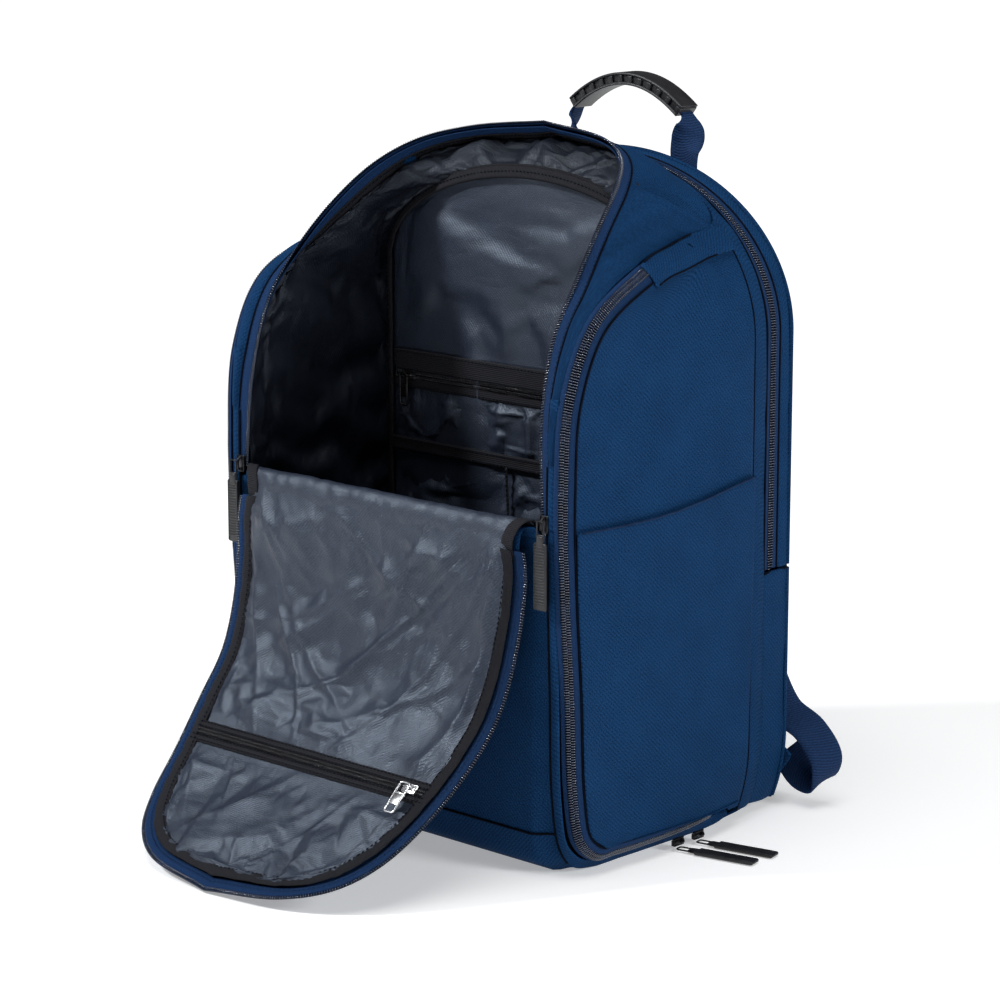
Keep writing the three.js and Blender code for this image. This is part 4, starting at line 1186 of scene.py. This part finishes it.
FLAP_SPREAD = (135, 240)          # width of half the flap's lining and its length to the zip, for its folds
FLAP_CREASES = (((0.97, 0.02), (0.50, 0.42), 4.5), ((0.97, 0.04), (0.74, 0.66), 4.0),
                ((0.42, 0.0), (0.12, 0.36), 3.6), ((0.02, 0.02), (0.20, 0.30), 2.6),
                ((-0.97, 0.02), (-0.80, 0.46), 3.8), ((-0.95, 0.02), (-0.45, 0.26), 3.4),
                ((0.90, 0.40), (0.10, 0.80), 3.0), ((0.70, 0.22), (-0.30, 0.62), 3.2))


def flap_creases(u, v):
    """Straight creases, each from a start to an end on the lining, with its height."""
    total = 0
    for start, end, height in FLAP_CREASES:
        a, b = (np.array(q) * FLAP_SPREAD for q in (start, end))
        run = b - a
        x, y = u * FLAP_SPREAD[0] - a[0], v * FLAP_SPREAD[1] - a[1]
        t = portion((x * run[0] + y * run[1]) / (run @ run))
        distance = np.hypot(x - run[0] * t, y - run[1] * t)
        total = total + height * np.exp(-distance / (4 + 7 * t)) * (1 - 0.75 * t)
    return total


def build_flap():
    tip = FLAP_TIP - 0.008
    u, v, p = flap_grid(FLAP_START, tip, 9.0, 0.0, 70, 110)
    soft = ripple(1.4, 55, 51)
    p = p + normals(p, LINING_SIDE) * (np.abs(soft(u, v, p)) * (1 - u ** 4))[..., None]
    cloth("flap_cloth", p, 70, 110, "flap", "shell", ["front_flap"], thick=1.4, away=LINING_SIDE)

    u, v, p = flap_grid(0.996, FLAP_ZIP + 0.009, 13.0, FLAP_DEPTH + 0.4, 110, 84)
    free = slack((1 - np.abs(u), 8), (v, 9), (1 - v, 10))
    folds = np.maximum(flap_folds(u, v, 2.8) + 2.8, 0.3) + flap_creases(u, v)
    tuck = 1.2 * (1 - smooth(0, 0.07, v))
    p = p + normals(p, SHELL_SIDE) * (folds * free - tuck)[..., None]
    p = crumple(p, free, 0.018, 61, 3.0, SHELL_SIDE, back=0.5, frames=20)
    cloth("flap_lining_cloth", p, 110, 84, "flap", "lining", ["flap_lining"], thick=0.6, away=SHELL_SIDE)
    u, v, p = flap_grid(FLAP_ZIP - 0.009, tip + 0.01, 14.0, FLAP_DEPTH + 1.2, 100, 60)
    free = slack((1 - np.abs(u), 8), (v, 9), (1 - v, 7))
    folds = np.maximum(flap_folds(u * 0.9, v * 0.6 + 0.5, 1.8) + 2.0, 0.2)
    p = p + normals(p, SHELL_SIDE) * (folds * free)[..., None]
    p = crumple(p, free, 0.035, 67, 4.5, SHELL_SIDE, back=0.5)
    cloth("flap_pocket_cloth", p, 100, 60, "flap", "lining", ["flap_pocket"], thick=0.6, away=SHELL_SIDE)
    build_flap_edge()
    build_flap_zip()
    build_fold()


def build_flap_edge():
    around = (1 - FLAP_START, FLAP_START)
    for name, near, far, depth, look, away, nodes in (
            ("flap_tape_outer", 3.6, 9.4, -0.3, "tape", LINING_SIDE, ["flap_zip"]),
            ("flap_tape_inner", 3.4, 12.0, 1.9, "tape", SHELL_SIDE, []),
            ("flap_edge_binding", 11.4, 21.0, FLAP_DEPTH + 2.2, "bind", SHELL_SIDE, ["flap_binding"])):
        def band(a, b):
            t = mix(*around, b)
            lump = 0.9 * value_noise(flap_rim(t, 5, 0) / 7, 71) + 0.7 * np.sin(math.pi * a)
            return flap_rim(t, mix(near, far, a), depth + lump * (look == "bind"))
        cloth(name, band, 5, 240, "flap", look, nodes, thick=0.8, away=away)
    teeth("flap_teeth", lambda t: flap_rim(t, 2.3, 0.8), flap_across, flap_up, "flap", start=around[0],
          stop=around[1], phase=0.5)
    for name, inset, depth, thread_and_painted_shade in (("flap_tape_stitches", 8.2, 2.9, "blue_thread"),
                                       ("flap_binding_stitches", 19.2, FLAP_DEPTH + 3.2, "thread_and_painted_shade")):
        stitch_row(name, lambda t: flap_rim(t, inset, depth), "flap", thread_and_painted_shade, lambda t, p: flap_up(t),
                   start=0.03, stop=0.97)
    stitch_row("flap_outer_stitches", lambda t: flap_rim(t, 10.6, -0.2), "flap", "blue_thread",
               lambda t, p: -flap_up(t), start=0.03, stop=0.97)


def build_flap_zip():
    """The flap pocket's zip: two stitched tapes and the chain between them."""
    half, length = (float(q[0]) for q in flap_edge(np.array([FLAP_ZIP]), 17.0))

    def across(end, at, depth):
        return lambda t: fold_down(flap_point(mix(-end, end, t), length + at, depth))
    for tag, low, high in (("lower", -8.6, -2.6), ("upper", 2.6, 8.6)):
        def tape(u, v):
            return across(half, mix(low, high, v), FLAP_DEPTH + 2.4 + 0.4 * np.sin(math.pi * v))(u)
        nodes = ["flap_pocket_zip"] if tag == "lower" else []
        cloth(f"flap_pocket_tape_{tag}", tape, 100, 5, "flap", "bind", nodes, thick=0.9, away=SHELL_SIDE,
              lift=ripple(0.4, 12, 77))
        for k, at in enumerate((mix(low, high, 0.2), mix(low, high, 0.8))):
            stitch_row(f"flap_pocket_stitches_{tag}_{k}", across(half, at, FLAP_DEPTH + 3.3), "flap",
                       "thread_and_painted_shade", always(*flap_zip_out(length)))
    chain("flap_pocket_teeth", across(half - 2, 0, FLAP_DEPTH + 2.2), flap_zip_up(0, length),
          flap_zip_out(length), "flap", gap=1.5)


def flap_zip_out(length):
    return unit(fold_down(flap_point(0, length, 2.0)) - fold_down(flap_point(0, length, 0.0)))


def flap_zip_up(x, length):
    return unit(fold_down(flap_point(x, length + 1)) - fold_down(flap_point(x, length - 1)))


def build_fold():
    """The hinge of the flap: its shell and lining run on over the front panel's top edge."""
    lining = profile([(-112.4, 243), (-113.6, 250), (-118.2, 254.6), (-123.6, 252), (-126.8, 244),
                      (-126.4, 233), (-126.1, 226)])
    shell = profile([(-116.4, 243.6), (-116.4, 248), (-118.4, 251.2), (-121.6, 250), (-124, 243),
                     (-125, 232)])
    away = (0, -119.4, 236)

    def half_width(at_root, inset, v):
        """Half width of the fold, from the root's to that of the flap's first row."""
        at_flap = abs(flap_edge(np.array([FLAP_START]), inset)[0][0])
        return mix(at_root, at_flap, smooth(0.1, 0.8, v))
    for name, path, look, at_root, inset, swell in (("fold_lining", lining, "lining", 143, 18.0, 1.0),
                                                    ("fold_shell", shell, "shell", 148, 8.0, -0.4)):
        def surface(u, v):
            q = path(v)
            return stack(mix(-1, 1, u) * half_width(at_root, inset, v), q[..., 1], q[..., 2])
        soft = ripple(1.5, 15, 83, (1.0, 1, 1.6))
        cloth(name, surface, 100, 20, FOLD, look, thick=0.7, away=away,
              lift=lambda u, v, p: swell * np.abs(soft(u, v, p)) * np.sin(math.pi * v))
    for side, sign in SIDES:
        def binding(u, v):
            q, turn = lining(v), lining.tangent(v)
            proud = 1.3 + 0.5 * value_noise(q / 6, 29)
            x = mix(half_width(136, 21.5, v), half_width(146, 11.4, v), u)
            return stack(sign * x, q[..., 1] + turn[..., 2] * proud, q[..., 2] - turn[..., 1] * proud)
        cloth(f"fold_binding_{side}", binding, 5, 30, FOLD, "bind", thick=0.9, away=away)


# ---- hardware ----
class Solid:
    """Small hard parts gathered into one mesh, in a local frame in millimetres."""

    def __init__(self):
        self.work = bmesh.new()

    def box(self, size, at, bevel, turn=None, taper=1.0):
        """A block with bevelled edges. Its height shrinks to the share `taper` at its low X end."""
        made = bmesh.ops.create_cube(self.work, size=1.0)["verts"]
        matrix = Matrix.Translation(at) @ (turn.to_4x4() if turn else Matrix.Identity(4))
        for vert in made:
            x, y, z = (c * s for c, s in zip(vert.co, size))
            vert.co = matrix @ Vector((x, y, z * (taper if x < 0 else 1)))
        edges = list({e for v in made for e in v.link_edges})
        bmesh.ops.bevel(self.work, geom=edges, offset=bevel, segments=2, profile=0.6, affect="EDGES")

    def tube(self, path, radius, closed=False):
        """Round wire along a path that lies in one plane."""
        path = np.asarray(path, float)
        section = round_section(radius)
        normal = np.linalg.svd(path - path.mean(0))[2][-1]
        up = unit(np.cross(tangents(path, closed), normal))
        rows = []
        for point, u in zip(path, up):
            rows.append([self.work.verts.new(point + a * normal + b * u) for a, b in section])
        pairs = list(zip(rows, rows[1:])) + ([(rows[-1], rows[0])] if closed else [])
        for a, b in pairs:
            for k in range(len(section)):
                m = (k + 1) % len(section)
                self.work.faces.new((a[k], a[m], b[m], b[k]))
        if not closed:
            self.work.faces.new(rows[0][::-1])
            self.work.faces.new(rows[-1])

    def piece(self, name, origin, along, side, body, look, nodes=()):
        along, side = np.array(along, float), np.array(side, float)
        turn = np.stack([along, side, np.cross(along, side)], axis=1)
        verts = np.array([v.co for v in self.work.verts]) @ turn.T + np.array(origin, float)
        self.work.verts.index_update()
        faces = [[v.index for v in f.verts] for f in self.work.faces]
        self.work.free()
        finish_mesh(name, verts, faces, None, body, look, nodes)


def loop_path(length, width, start=0.0, corner=1.6, steps=5):
    """A rounded rectangle of wire in the X-Y plane, running back along -X from `start`."""
    points = []
    x0, x1 = start - length + corner, start - corner
    y = width / 2 - corner
    for cx, cy, a0 in ((x1, y, 0), (x0, y, 90), (x0, -y, 180), (x1, -y, 270)):
        for k in range(steps + 1):
            a = math.radians(a0 + 90 * k / steps)
            points.append((cx + corner * math.cos(a), cy + corner * math.sin(a), 0))
    return points


def make_slider(body, origin, along, out, look="metal", width=8.0):
    s = Solid()
    s.box((12.5, 1.3, width), (0, 0.85, 0), 0.5, taper=0.72)
    for way in (-1, 1):
        s.box((10.5, 2.1, 1.0), (0.6, 1.0, way * (width / 2 - 0.6)), 0.4)
    bridge = [(4.6 * math.cos(a), 1.2 + 3.3 * math.sin(a) ** 0.8, 0)
              for a in np.linspace(0.06, math.pi - 0.06, 15)]
    s.tube(bridge, 0.95)
    s.box((2.6, 1.6, 2.8), (4.3, 1.9, 0), 0.4)
    s.box((2.2, 1.4, 2.4), (-4.3, 1.8, 0), 0.4)
    s.piece(f"{body}_body", origin, along, out, body, look, [body])


def make_pull(body, origin, along, side):
    """A wire bail through the slider's bridge with a ribbed moulded tab on it."""
    wire = Solid()
    wire.tube(loop_path(15.0, 6.4, 3.4), 0.62, closed=True)
    wire.box((1.6, 6.8, 1.8), (-6.4, 0, 0), 0.5)
    wire.piece(f"{body}_bail", origin, along, side, body, "metal")
    tab = Solid()
    length, width = 47.0, 10.6
    start = -11.5
    tab.box((9.5, 6.0, 2.5), (-11.6, 0, 0), 0.7)
    tab.box((length, width, 1.9), (start - length / 2, 0, 0), 0.8)
    pitch = 2.05
    for k in range(int((length - 4) / pitch)):
        x = start - 3 - k * pitch
        tab.box((1.05, width - 0.9, 3.1), (x, 0, 0), 0.35)
    for way in (-1, 1):
        tab.box((length - 1.5, 1.1, 2.7), (start - length / 2, way * (width / 2 - 0.6), 0), 0.4)
    tab.piece(f"{body}_tab", origin, along, side, body, "rubber", [body])


def make_wire_pull(name, origin, along, side, body, look, width):
    s = Solid()
    start, length = 1.2, 24.0
    s.tube(loop_path(length, width, start, 1.8), 0.75, closed=True)
    s.box((length * 0.34, width - 1.0, 1.1), (start - length * 0.57, 0, 0), 0.3)
    s.box((1.5, width - 1.0, 1.5), (start - length * 0.36, 0, 0), 0.4)
    s.piece(name, origin, along, side, body, look, [body])


PULL_PIVOT = 7.2                  # from a slider's seat to the pivot of its pull


def build_hardware():
    up, right, front, rear = (0, 0, 1), (1, 0, 0), (0, -1, 0), (0, 1, 0)
    face, pull_angle = FRONT_Y - 1, 1.36
    for side, sign in SIDES:
        make_slider(f"main_slider_{side}", (sign * 153, face, 254), up, front)
        make_pull(f"main_pull_{side}", (sign * 155, face - PULL_PIVOT, 254), up, right)
        outwards = np.array((sign * math.sin(pull_angle), math.cos(pull_angle), 0))
        for end, y in (("front", 2), ("rear", 24)):
            make_slider(f"pod_slider_{end}_{side}", (sign * (SHELL_HALF + 0.4), y, 6.4), rear, (sign, 0, 0),
                        width=6.0)
            make_pull(f"pod_pull_{end}_{side}", (sign * (SHELL_HALF + 6), y, 2.1), -outwards,
                      np.cross(up, outwards))
    x, y, z = -122, DIVIDER_Y - 2.7, POCKET["zip"]
    make_slider("divider_slider", (x, y, z), right, front, width=6.5)
    make_wire_pull("divider_pull_wire", (x, y - PULL_PIVOT, z), up, right, "divider_pull", "metal", 7.4)
    seat, pivot, upwards, inward = flap_slider_frame()
    make_slider("flap_pocket_slider", seat, right, inward, "silver", 7.6)
    make_wire_pull("flap_pocket_pull_plate", pivot, -upwards, right, "flap_pocket_pull", "silver", 8.6)
    x, z = -ZIP_ARCH[0] - 1.5, DOOR_Z + 18
    make_slider("rear_slider", (x, REAR_ZIP_Y, z), up, (-1, 0, 0))
    make_pull("rear_pull", (x - PULL_PIVOT, REAR_ZIP_Y, z), up, rear)


def flap_slider_frame():
    """Where the flap pocket's slider sits: its seat, its pull's pivot, and the flap's directions there."""
    half, length = (float(q[0]) for q in flap_edge(np.array([FLAP_ZIP]), 18.0))
    x = half - 14
    upwards = flap_zip_up(x, length)
    inward = np.cross(upwards, (1.0, 0.0, 0.0))
    inward *= np.sign(np.dot(inward, flap_zip_out(length)))
    seat = fold_down(flap_point(x, length)) + inward * 5.45
    return seat, seat + inward * PULL_PIVOT, upwards, inward


# ---- back panel, harness and handle ----
# The routes and turns of the straps are given one by one. Their directions need no unit length.
COVER_FOLD = ("root", "back_door", (0, 0, 180), (0, 0, 189))
INSIDE = (0, 0, 250)
BUCKLE_LEAN = 0.22


def build_back():
    soft = ripple(0.9, 50, 91)
    half, crown = BACK_ARCH[0] - 1.2, BACK_ARCH[1] - SHOULDER_Z - 1.5

    def upper(u, v):
        z = mix(DOOR_Z + 0.6, SHOULDER_Z + crown, v)
        return stack(mix(-1, 1, u) * half * arch_reach(z, SHOULDER_Z, crown), BACK_Y - 0.2, z)
    cloth("back_panel_cloth", upper, 70, 70, "back_door", "shell", ["back_panel"], away=INSIDE, lift=soft)

    def lower(u, v):
        z = mix(6, DOOR_Z - 0.6, v)
        return stack(mix(-1, 1, u) * (half - 12 * portion(1 - z / 60) ** 1.5), BACK_Y - 0.2, z)
    cloth("back_panel_lower_cloth", lower, 70, 50, "root", "shell", ["back_panel_lower"], away=INSIDE,
          lift=soft)

    def fold(u, v):
        return stack(mix(-1, 1, u) * (half - 1), BACK_Y + 0.8 + 0.9 * np.sin(math.pi * v), mix(178.5, 190, v))
    cloth("back_fold", fold, 70, 10, COVER_FOLD, "bind", thick=1.0, away=INSIDE)
    for k, (z, body) in enumerate(((180.4, "root"), (188.2, "back_door"))):
        stitch_row(f"back_fold_stitches_{k}", level(half - 3, BACK_Y + 1.7, z), body, "thread_and_painted_shade",
                   always(0, 1, 0))


def pad_mesh(name, surface, thick, cols, rows, body, nodes, channels):
    """A foam pad with piping: surface(u, v) is its inner face, and channels(u, v, p) shares its height."""
    u, v = grid(cols, rows)
    inner = surface(u, v)
    rounding = 5                      # cells from the edge over which the pad rises to its height

    def rise(near, count):
        return np.sqrt(portion(1 - (1 - portion(np.minimum(near, 1 - near) * count / rounding)) ** 2))
    height = thick * (0.3 + 0.7 * rise(u, cols) * rise(v, rows)) * channels(u, v, inner)
    outer = inner + normals(inner, CORE) * height[..., None]
    across, up = cut_plan(inner)
    around = border(np.arange(u.size).reshape(u.shape))
    nxt = np.roll(around, -1)
    face = grid_faces(*u.shape)
    faces = np.vstack([face, face[:, ::-1] + u.size,
                       np.stack([around, around + u.size, nxt + u.size, nxt], 1)])
    uv = np.stack([across.ravel(), up.ravel()], axis=1)
    verts = np.vstack([outer.reshape(-1, 3), inner.reshape(-1, 3)])
    finish_mesh(name, verts, faces, np.vstack([uv, uv]), body, "mesh", nodes)
    seam = (outer * 0.3 + inner * 0.7).reshape(-1, 3)[around]
    sweep(name.replace("_mesh", "_piping"), seam[::2], round_section(1.5), body, "bind", side=(0, 1, 0),
          closed=True)


def build_back_pad():
    outline = profile([(90, 214), (106, 232), (112, 262), (112, 330), (112, 378), (103, 408), (84, 430),
                       (60, 444), (40, 448)])

    def surface(u, v):
        edge = outline(v)
        return stack(mix(-1, 1, u) * edge[..., 1], BACK_Y + 0.6, edge[..., 2])

    def channels(u, v, p):
        from_spine, far = np.abs(p[..., 0]) - 22, 60
        seams = np.minimum(np.abs(from_spine), far)
        for height in (268, 324, 380):
            slanted = np.abs(p[..., 2] - height + 0.16 * from_spine)
            seams = np.minimum(seams, np.where(from_spine > 0, slanted, far))
        return 0.34 + 0.66 * smooth(0, 8, seams)
    pad_mesh("back_pad_mesh", surface, 6.2, 110, 110, "back_door", ["back_pad"], channels)


def mirrored(points, sign):
    """A curve of the right side, given point by point, or its mirror image on the left."""
    return Spline(np.array(points) * np.array((sign, 1, 1)))


def strap_point(route, turn, width):
    """A strap's surface: its route, and turn for the way its width points along it."""
    def surface(u, v):
        side = unit(turn(v))
        ahead = route.tangent(v)
        side = unit(side - ahead * np.sum(side * ahead, axis=-1, keepdims=True))
        return route(v) + side * (mix(-0.5, 0.5, u) * width)[..., None]
    return surface


def webbing(name, surface, rows, body, nodes=(), thick=1.8):
    cloth(name, surface, 6, rows, body, "webbing", nodes, thick=thick, roll=0.2)


def build_shoulder_straps():
    lean = (math.cos(BUCKLE_LEAN), 0, math.sin(BUCKLE_LEAN))

    def channels(u, v, p):
        return 0.8 + 0.2 * smooth(0, 0.12, np.abs(u - 0.5))
    for side, sign in SIDES:
        route = mirrored([(40, 144, 446), (56, 155, 410), (78, 161, 340), (98, 157, 275), (111, 146, 226)],
                         sign)
        turn = mirrored([(1, 0, 0.25), (1, 0, 0.3), (1, 0, 0.3), (1, 0, 0.3), (1, 0, 0.25)], sign)
        pad_mesh(f"shoulder_pad_mesh_{side}", strap_point(route, turn, 58), 10.5, 30, 110, "back_door",
                 [f"shoulder_pad_{side}"], channels)
        over = mirrored([(40, 156, 445), (57, 167.3, 408), (78.6, 173, 338), (98.4, 169, 275),
                         (110.5, 159, 232), (113, 152.5, 220), (114.5, 150.5, 208), (114.8, 148.5, 206)],
                        sign)
        webbing(f"shoulder_webbing_{side}", strap_point(over, mirrored([(1, 0, 0.25)] * 8, sign), 25), 160,
                "back_door", thick=1.5)
        buckle = Solid()
        for x in (-16.4, 16.4):
            buckle.box((3.4, 24, 4.4), (x, 0, 0), 0.8)
        for y, height, depth in ((-10, 3.4, 4.2), (-2.5, 3.2, 3.4), (4.5, 3.2, 3.4), (10.6, 2.8, 4.0)):
            buckle.box((31, height, depth), (0, y, 0), 0.7)
        up = (-sign * math.sin(BUCKLE_LEAN), 0, math.cos(BUCKLE_LEAN))
        buckle.piece(f"strap_buckle_body_{side}", (sign * 116, 148, 202), np.array(lean) * (1, 1, sign), up,
                     "back_door", "plastic", [f"strap_buckle_{side}"])
        link = mirrored([(117.4, 150.6, 199), (118.2, 151.4, 192), (119.2, 149.4, 180), (121, 147.2, 163)],
                        sign)
        webbing(f"strap_link_{side}", strap_point(link, mirrored([(1, 0, 0.2)] * 4, sign), 25), 24,
                ("root", "back_door", (sign * 120, 148, 168), (sign * 118, 148, 192)), thick=1.5)
        low = mirrored([(121, 147, 164), (129, 148, 130), (138, 148, 92), (153, 149, 70), (174, 151, 58),
                        (188, 153, 38), (182, 154, 20), (168, 153, 22), (154, 150, 40)], sign)
        low_turn = mirrored([(1, 0, 0.2), (1, 0.2, 0.3), (0.7, 0.6, 0.5), (0.2, 0.8, 0.5), (0.3, 0.8, 0.4),
                             (0.3, 0.8, 0.4), (0.2, 0.9, 0.4), (0.1, 0.8, 0.5), (-0.3, 0, 1)], sign)
        webbing(f"lower_webbing_strap_{side}", strap_point(low, low_turn, 26), 160, "root",
                [f"lower_webbing_{side}"])

        def patch(u, v):
            x, y = mix(-17, 17, u), mix(-12, 12, v)
            return stack(sign * (148 + 0.6 * x - 0.8 * y), 138, 34 + 0.8 * x + 0.6 * y)
        cloth(f"strap_anchor_{side}", patch, 12, 8, "root", "shell", thick=2.4, away=INSIDE)


def build_handle():
    y0, half, foot, rise = 144, 53, 510, 21
    x = np.linspace(-half, half, 90)
    z = foot + rise * (1 - (x / half) ** 2)
    path = stack(x, y0, z)

    def bar(depth, low, high, corner=1.2):
        """A section with round corners, from low to high of the grip's middle line."""
        left, right, bottom, top = corner - depth / 2, depth / 2 - corner, low + corner, high - corner
        corners = ((right, top, 0), (left, top, 90), (left, bottom, 180), (right, bottom, 270))
        turns = [(cx, cy, math.radians(a0 + 30 * k)) for cx, cy, a0 in corners for k in range(4)]
        return [(cx + corner * math.cos(a), cy + corner * math.sin(a)) for cx, cy, a in turns]
    for part, section, nodes in (("core", bar(16, -4.2, 3.6), ["handle_grip"]),
                                 ("top", bar(20.5, 2.4, 4.8), []),
                                 ("foot", bar(19.5, -4.7, -2.4, 1.1), [])):
        sweep(f"handle_grip_{part}", path, section, "handle", "rubber", nodes, side=(0, 1, 0))
    ribs = Solid()
    for at in np.linspace(-half + 1.6, half - 1.6, 12):
        slope = math.atan(-2 * rise * at / half ** 2)
        height = foot + rise * (1 - (at / half) ** 2)
        ribs.box((4.4, 19.2, 6.0), (at, y0, height - 0.6), 0.6, turn=Matrix.Rotation(-slope, 3, "Y"))
    ribs.piece("handle_grip_ribs", (0, 0, 0), (1, 0, 0), (0, 1, 0), "handle", "rubber")
    for side, sign in SIDES:
        route = mirrored([(half - 10, y0, 514), (half - 1, y0, 510), (56.5, 143.6, 504.5),
                          (58.6, 142.4, 498), (58.4, 138.8, 489), (57.6, 136.2, 481.5), (57.5, 135.6, 470),
                          (57.5, 135.8, 456)], sign)
        turn = mirrored([(0, 1, 0), (0, 1, 0), (0.1, 1, 0), (0.4, 1, 0), (0.85, 0.6, 0), (1, 0.15, 0),
                         (1, 0, 0), (1, 0, 0)], sign)
        flat = strap_point(route, turn, 24)

        def strap(u, v):
            return route(v) + (flat(u, v) - route(v)) * mix(0.5, 1, smooth(0.2, 0.5, v))[..., None]
        webbing(f"handle_webbing_strap_{side}", strap, 120,
                ("back_door", "handle", (sign * 57.5, 0, 470), (sign * 57.5, 0, 480)),
                [f"handle_webbing_{side}"])


# ---- the room ----
def cad_piece_materials():
    board = bpy.data.objects.get("base_board")
    board.data.materials.clear()
    board.data.materials.append(MATERIALS["board"])


def area_light(name, at, aim, size, power, colour=(1, 1, 1)):
    data = bpy.data.lights.new(name, "AREA")
    data.shape = "DISK"
    data.size, data.energy, data.color = size, power, colour
    obj = bpy.data.objects.new(name, data)
    bpy.context.scene.collection.objects.link(obj)
    obj.location = at
    obj.rotation_euler = (Vector(aim) - Vector(at)).to_track_quat("-Z", "Y").to_euler()


def build_room():
    half = 14.0
    mesh = bpy.data.meshes.new("floor")
    mesh.from_pydata([(-half, -half, 0), (half, -half, 0), (half, half, 0), (-half, half, 0)], [],
                     [(0, 1, 2, 3)])
    floor = bpy.data.objects.new("floor", mesh)
    bpy.context.scene.collection.objects.link(floor)
    paint = Shader("floor_paint", Roughness=0.8, Specular_IOR_Level=0.2)
    grain = paint.noise(paint.in_space(), 3.0)
    paint.join(paint.colours(grain, (0.0, (0.86, 0.86, 0.86)), (1.0, (0.90, 0.90, 0.90))), "Base Color")
    paint.surface.inputs["Emission Color"].default_value = (1, 1, 1, 1)
    distance = paint.node("VectorMath", {"operation": "LENGTH"}, i0=paint.in_space()).outputs["Value"]
    glow = paint.node("MapRange", Value=distance, From_Min=0.5, From_Max=3.5, To_Min=0.34, To_Max=0.95)
    paint.join(glow.outputs[0], "Emission Strength")
    mesh.materials.append(paint.material)
    world = bpy.data.worlds.new("studio")
    bpy.context.scene.world = world
    world.use_nodes = True
    sky = world.node_tree.nodes["Background"]
    sky.inputs["Color"].default_value = (1.0, 1.0, 1.0, 1)
    sky.inputs["Strength"].default_value = 0.08
    area_light("top", (0.4, -0.5, 3.2), (0, 0, 0.2), 2.4, 55)
    area_light("key", (-1.8, -2.3, 2.8), (0, -0.05, 0.22), 0.55, 125, (0.95, 0.98, 1.0))
    area_light("side", (3.2, 0.5, 1.6), (0, 0, 0.25), 1.0, 58, (0.95, 0.98, 1.0))
    bpy.context.scene.view_settings.view_transform = "Standard"


def build_camera():
    azimuth, elevation, distance = math.radians(43.6), math.radians(12.0), 2.426
    aim = Vector((0, 0, 0.2307))
    data = bpy.data.cameras.new("camera")
    data.lens, data.sensor_width = 118.8, 36.0
    data.clip_end = 60
    camera = bpy.data.objects.new("camera", data)
    bpy.context.scene.collection.objects.link(camera)
    camera.location = aim + distance * Vector((math.sin(azimuth) * math.cos(elevation),
                                               -math.cos(azimuth) * math.cos(elevation), math.sin(elevation)))
    camera.rotation_euler = (aim - camera.location).to_track_quat("-Z", "Y").to_euler()
    bpy.context.scene.camera = camera


build_base()
build_front_panel()
build_strips()
build_main_gusset()
build_gusset_join()
build_rear_gusset()
for side, sign in SIDES:
    build_pod(side, sign)
build_tunnel()
build_rear_walls()
build_divider()
build_divider_pockets()
build_floor_and_front_lining()
build_flap()
build_hardware()
build_back()
build_back_pad()
build_shoulder_straps()
build_handle()
cad_piece_materials()
build_room()
build_camera()
